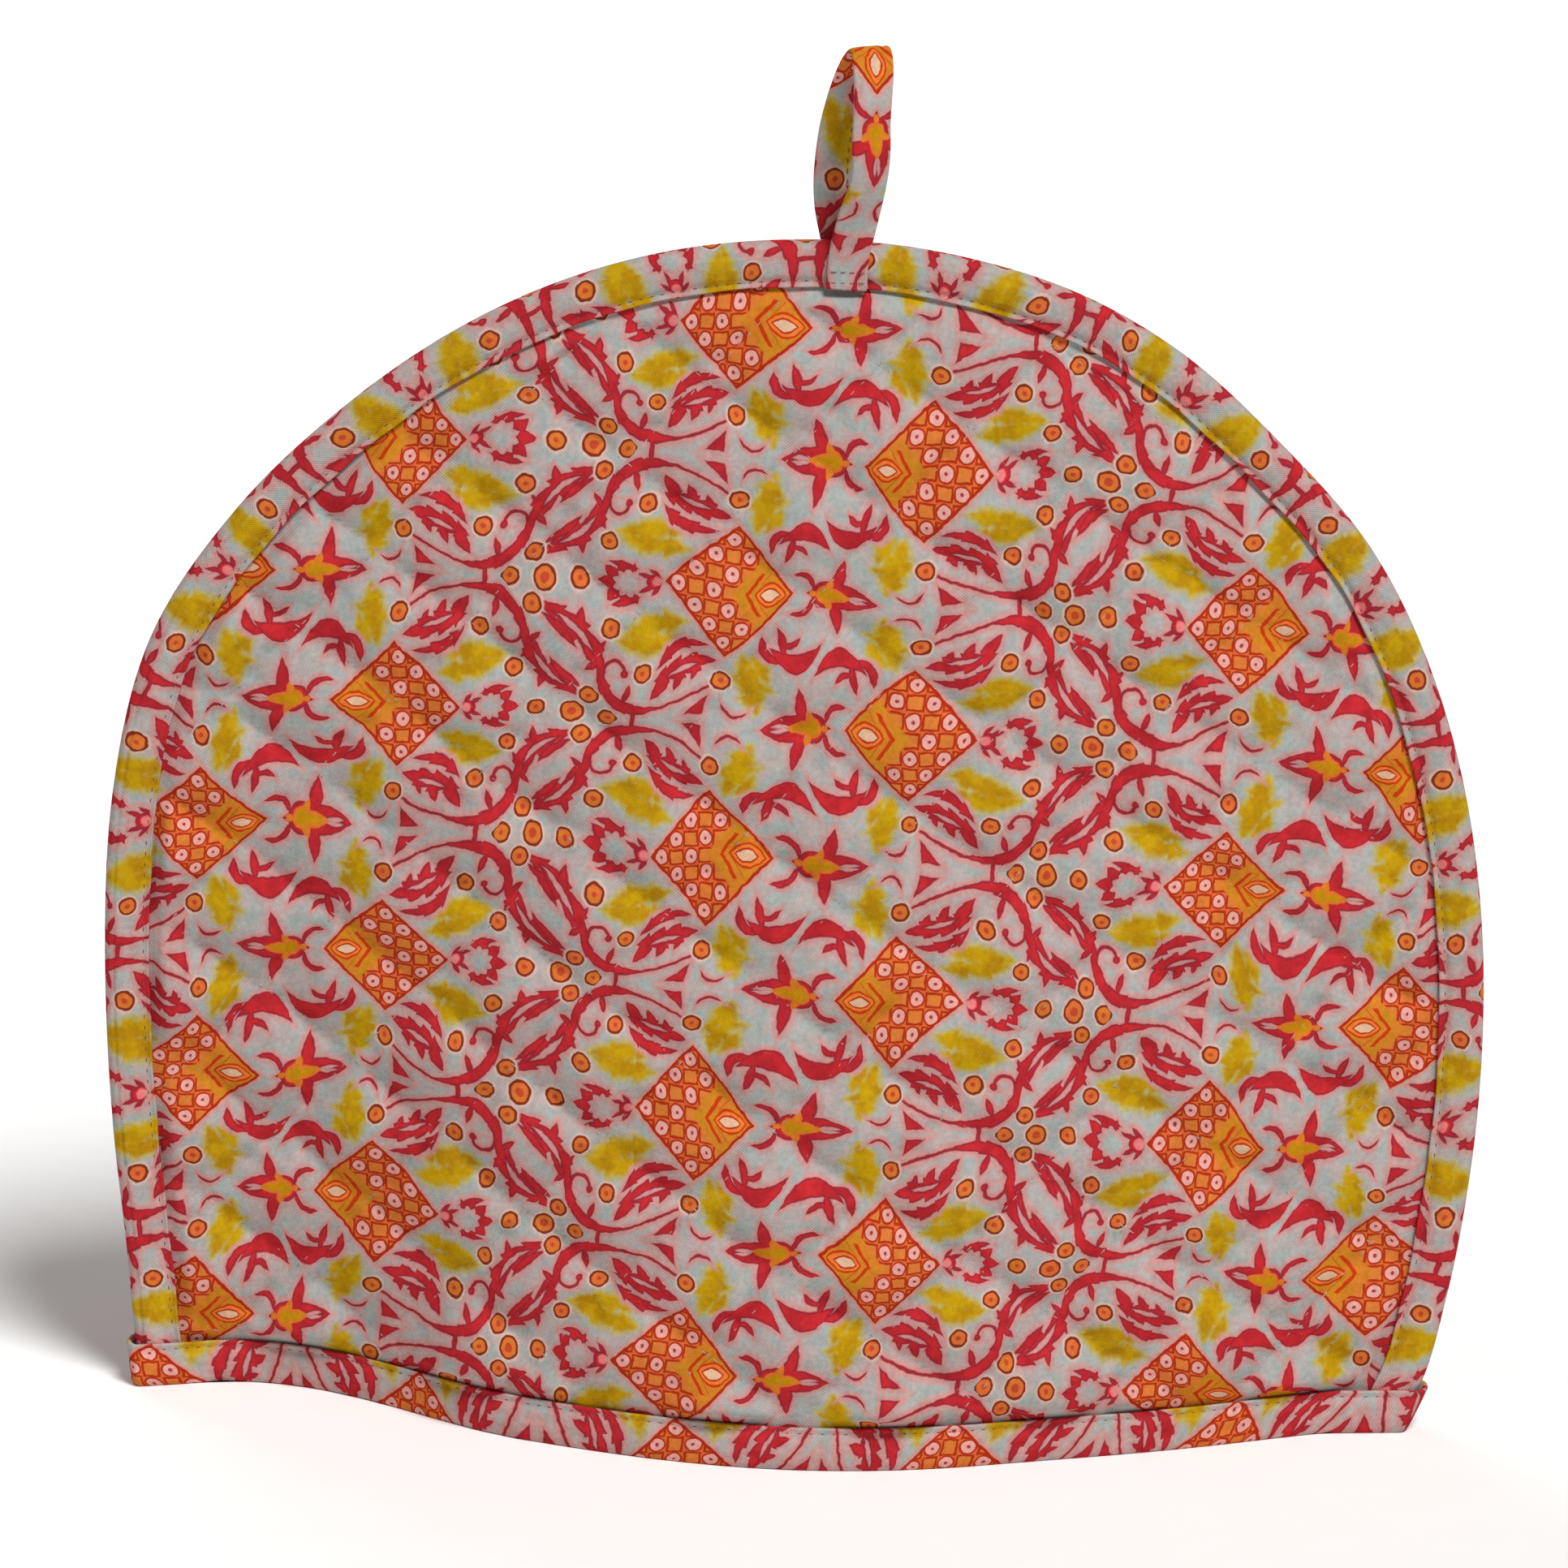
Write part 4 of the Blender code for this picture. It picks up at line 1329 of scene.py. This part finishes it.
def printed_colour(uv, middle, turn, size):
    """The print's colour. middle is the place of one lozenge on the cloth, turn the print's angle
    there, and size how much larger the print is than on the quilted panels."""
    scale = 1000.0 / size
    turn = float(np.radians(turn))
    cos, sin = float(np.cos(turn)), float(np.sin(turn))
    u, v = middle[0] * scale, middle[1] * scale
    inputs = {
        "Vector": uv,
        "Location": (-(u * cos - v * sin), -(u * sin + v * cos), 0.0),
        "Rotation": (0.0, 0.0, turn),
        "Scale": (scale, scale, 1.0),
    }
    place = uv.make("ShaderNodeMapping", inputs)
    bend = uv.noise(480.0, 1.0, output=1)
    sway = uv.noise(34.0, 0.0, output=1)
    place = bend.vector("MULTIPLY_ADD", (BEND, BEND, 0.0), place)
    place = sway.vector("MULTIPLY_ADD", (SWAY, SWAY, 0.0), place)
    mean = (BEND + SWAY) / 2
    x, y, _ = place.vector("SUBTRACT", (mean, mean, 0.0)).parts()
    x, y = folded(x, y)
    quarter = x.make("ShaderNodeCombineXYZ", {0: x, 1: y})
    blotch = uv.noise(190.0, 2.0).over(0.36, 0.64)
    speck = bend.parts()[2]

    yellow = blades(x, y, YELLOW_BLADES)
    yellow = speck.scaled(0.9, yellow - 0.6)
    ground = blotch.mix(ink(161, 167, 163), ink(178, 163, 159))
    colour = yellow.over(-1.4, 0.3).mix(ground, ink(178, 164, 96))
    mustard = blotch.mix(ink(188, 150, 18), ink(174, 130, 18))
    colour = yellow.over(-0.3, 1.1).mix(colour, mustard)

    red = red_shapes(x, y, quarter)
    colour = red.over(-1.6, -0.1).mix(colour, ink(197, 141, 136))
    dye = blotch.mix(ink(192, 44, 50), ink(174, 40, 46))
    dye = red.over(0.8, 0.25).mix(dye, ink(140, 38, 52))
    colour = red.over(-0.05, 0.35).mix(colour, dye)
    heart = 2.2 - reach_from(quarter, 22.3, 0.0)
    heart = heart.most(blades(x, y, HEART_BLADES))
    gold = heart.over(0.3, 1.2).mix(ink(214, 116, 44), ink(190, 136, 18))
    colour = heart.over(-0.2, 0.2).mix(colour, gold)
    bud = reach_from(quarter, -16.2, 0.0)
    colour = bud.over(1.35, 0.8).mix(colour, ink(226, 122, 122))

    near = dot_reach(quarter)
    colour = near.over(2.9, 2.3).mix(colour, ink(206, 176, 162))
    colour = near.over(2.25, 2.0).mix(colour, ink(124, 46, 30))
    disc = blotch.mix(ink(212, 106, 54), ink(208, 116, 46))
    colour = near.over(1.7, 1.45).mix(colour, disc)
    colour = near.over(0.75, 0.35).mix(colour, ink(186, 70, 44))

    inside = lozenge_inside(x, y)
    colour = inside.over(-1.4, -0.2).mix(colour, ink(198, 144, 134))
    return inside.over(-0.12, 0.12).mix(colour, lozenge_colour(x, y, inside, blotch))


print(f"noise moves the print by at most {(BEND + SWAY) / 2:.2f} mm each way")

# %% Weave and printed cotton
WEAVE = 0.00036  # from one thread to the next, metres


def weave_height(uv):
    """Height of a plain weave: a product of two sines, so that the threads go over and under."""
    across, along, _ = uv.parts()
    turns = float(np.pi / WEAVE)
    return (across * turns).math("SINE") * (along * turns).math("SINE")


def weave_bump(uv, height, strength):
    """A Bump node: height times a tenth of a millimetre."""
    inputs = {"Strength": strength, "Distance": 0.0001, "Height": height}
    return uv.make("ShaderNodeBump", inputs)


def printed_cotton(name, middle, turn, size=1.0):
    """The finished cotton: in Base Color the print, lighter on the weave's crossing threads and
    darker in its hollows as painted shade, with the cloth's own fine flecks, and slower noise that is
    partly uneven dye and partly painted shade; and in the Bump the weave."""
    material, shader, uv = new_material(name, roughness=0.86)
    colour = printed_colour(uv, middle, turn, size)
    weave = weave_height(uv)
    # painted shade: the weave's height darkens the print in its hollows and lightens it on the
    # threads; the fine noise is the cloth's own flecks
    fleck = uv.noise(900.0, 2.0).scaled(0.36, weave.scaled(0.04, 0.67))
    # the slower noise is partly uneven dye and partly painted shade, random patches that add to the
    # shading of the quilted relief
    tone_and_shade = uv.noise(260.0, 2.0).scaled(0.30, fleck)
    settings = {"data_type": "RGBA", "blend_type": "MULTIPLY"}
    inputs = {0: 1.0, 6: colour, 7: tone_and_shade.thrice()}
    colour = uv.make("ShaderNodeMix", inputs, settings, output=2)
    bump = weave_bump(uv, weave, 0.5)
    print(f"{name}: {len(material.node_tree.nodes)} nodes")
    return link_inputs(material, shader, {"Base Color": colour, "Normal": bump})


# %% Cotton for each cloth
PANEL_MIDDLE = (-0.0192, 0.1382)  # a lozenge's place on the front panel
BACK_MIDDLE = (0.0310, 0.1280)
EDGE_MIDDLE = (0.3250, -0.0142)  # along the strip and across it
HEM_MIDDLE = (0.2013, 0.0157)
LOOP_MIDDLE = (0.0636, 0.0156)
LOOSE = 1.1  # how much larger the print is on the strips, which no quilting draws together

front_cotton = printed_cotton("quilted_cotton_front", PANEL_MIDDLE, 1.9)
back_cotton = printed_cotton("quilted_cotton_back", BACK_MIDDLE, -1.2)
edge_cotton = printed_cotton("binding_cotton_edge", EDGE_MIDDLE, 90, LOOSE)
hem_cotton = printed_cotton("binding_cotton_hem", HEM_MIDDLE, -90, LOOSE)
loop_cotton = printed_cotton("loop_cotton", LOOP_MIDDLE, 178.6, LOOSE)

# %% [markdown]
# ## Lining and thread
#
# Nobody prints the inside of a cosy. The lining is plain unbleached cotton with the same weave, a
# little blotchy, and the quilting shows through it. The thread is glossier than the cloth,
# because it is twisted hard: fine slanted ridges with painted shade in the grooves between them,
# warm grey in the quilting and wine red in the seams.

# %% Plain lining and threads


def plain_cotton(name):
    """Unbleached cotton: two near colours in soft blotches, with the weave."""
    material, shader, uv = new_material(name, roughness=0.92)
    fleck = uv.noise(700.0, 4.0).over(0.3, 0.75)
    colour = uv.noise(60.0, 3.0).over(0.3, 0.7).mix(ink(214, 206, 188), ink(202, 192, 172))
    colour = (fleck * 0.35).mix(colour, ink(176, 160, 134))
    bump = weave_bump(uv, weave_height(uv) + uv.noise(1200.0, 2.0) * 1.5, 0.6)
    return link_inputs(material, shader, {"Base Color": colour, "Normal": bump})


def twisted_thread(name, light, dark):
    """Twisted thread on Object coordinates: a slanted wave gives the plies, as bumps and as painted
    shade that darkens the grooves between them.
    """
    material, shader, uv = new_material(name, roughness=0.6, gloss=0.3)
    place = uv.make("ShaderNodeTexCoord", {}, output=3)
    inputs = {"Vector": place, "Scale": 900.0, "Distortion": 1.5}
    ply = uv.make("ShaderNodeTexWave", inputs, {"bands_direction": "DIAGONAL"}, output=1)
    # painted shade: the dark colour lies in the grooves between the plies and the light one on their
    # crowns
    colour = ply.mix(ink(*dark), ink(*light))
    bump = weave_bump(uv, ply, 0.4)
    return link_inputs(material, shader, {"Base Color": colour, "Normal": bump})


# %% Materials on the pieces
lining = plain_cotton("plain_lining")
pale_thread = twisted_thread("pale_thread", (186, 174, 170), (156, 142, 138))
wine_thread = twisted_thread("wine_thread", (150, 82, 82), (118, 60, 66))

for side, cotton in ((1, front_cotton), (-1, back_cotton)):
    panels[side].data.materials.append(cotton)
    panels[side].data.materials.append(lining)
edge_binding.data.materials.append(edge_cotton)
hem_binding.data.materials.append(hem_cotton)
hanging_loop.data.materials.append(loop_cotton)
for piece in bpy.data.objects:
    if piece.name.endswith("quilting_thread"):
        piece.data.materials.append(pale_thread)
    elif piece.name.endswith("seam_thread"):
        piece.data.materials.append(wine_thread)

# %% [markdown]

# %% [markdown]
# ## Floor, light and camera
#
# The cosy stands on a wide pale floor in a bright, even room. A broad lamp above it and a little to
# the right makes the quilting lines show, because each cell then has a lit slope and a shaded one. A
# second, weaker lamp behind keeps the outline clear of the floor. The camera looks down on it a
# little, through a long lens, and is held very slightly askew.

# %% Floor
FLOOR_REACH = 6.0
rings, spokes = 24, 72
reach = (np.linspace(0.02, 1, rings + 1) ** 2 * FLOOR_REACH)[:, None]
turn = np.linspace(0, 2 * np.pi, spokes, endpoint=False)
points = np.broadcast_arrays(reach * np.cos(turn), reach * np.sin(turn), 0)
points = np.stack(points, axis=-1).reshape(-1, 3)
faces, _ = grid_faces(rings, spokes, close_cols=True)
middle = np.arange(spokes)[None, :]
floor_mesh = bpy.data.meshes.new("floor")
floor_mesh.from_pydata(points.tolist(), [], faces.tolist() + middle[:, ::-1].tolist())
floor = add_object("floor", floor_mesh)
paper, paper_shader, uv = new_material("pale_paper", roughness=0.9)
coords = uv.make("ShaderNodeTexCoord", {}, output=3)
grain = coords.make("ShaderNodeTexNoise", {"Vector": coords, "Scale": 60.0, "Detail": 4.0})
colour = grain.mix(ink(246, 246, 244), ink(249, 249, 248))
floor_mesh.materials.append(link_inputs(paper, paper_shader, {"Base Color": colour}))
print(f"floor of {rings * spokes + 1} faces, {2 * FLOOR_REACH:.0f} m wide")

# %% Lamps and the room


def add_lamp(name, kind, settings, turn, place=(0.0, 0.0, 0.0)):
    """A lamp at a place, turned by three angles in degrees."""
    data = bpy.data.lights.new(name, kind)
    for key, value in settings.items():
        setattr(data, key, value)
    lamp = add_object(name, data)
    lamp.location = place
    lamp.rotation_euler = [float(np.radians(angle)) for angle in turn]


add_lamp("key_lamp", "SUN", {"angle": np.radians(20), "energy": 2.95}, (32, 0, 30))
add_lamp("back_lamp", "AREA", {"size": 1.6, "energy": 20.0}, (-69, 0, 31), (-1.3, 2.2, 1.1))
world = bpy.data.worlds.new("studio")
world.use_nodes = True
background = world.node_tree.nodes["Background"]
background.inputs["Color"].default_value = (1.0, 1.0, 1.0, 1.0)
background.inputs["Strength"].default_value = 0.22
bpy.context.scene.world = world
bpy.context.scene.view_settings.view_transform = "Standard"
print("two lamps and a bright room")

# %% Camera
CAMERA_AIM = np.array([-0.0036, 0.0, 0.1458])
CAMERA_AWAY = 6.0  # metres from the aim
CAMERA_RISE = np.radians(18.0)
CAMERA_ROLL = np.radians(1.93)
VIEW_WIDE = 0.3478  # metres across the picture at the aim
SENSOR = 36.0

away = np.array([0.0, -np.cos(CAMERA_RISE), np.sin(CAMERA_RISE)])
level = np.array([1.0, 0.0, 0.0])
up = np.cross(away, level)
right = np.cos(CAMERA_ROLL) * level + np.sin(CAMERA_ROLL) * up
above = np.cross(away, right)
matrix = np.eye(4)
matrix[:3] = np.stack([right, above, away, CAMERA_AIM + CAMERA_AWAY * away], axis=1)
camera_data = bpy.data.cameras.new("camera")
camera_data.sensor_width = SENSOR
camera_data.lens = SENSOR * CAMERA_AWAY / VIEW_WIDE
camera = add_object("camera", camera_data)
camera.matrix_world = matrix.T.tolist()
bpy.context.scene.camera = camera
print(f"lens {camera_data.lens:.0f} mm")
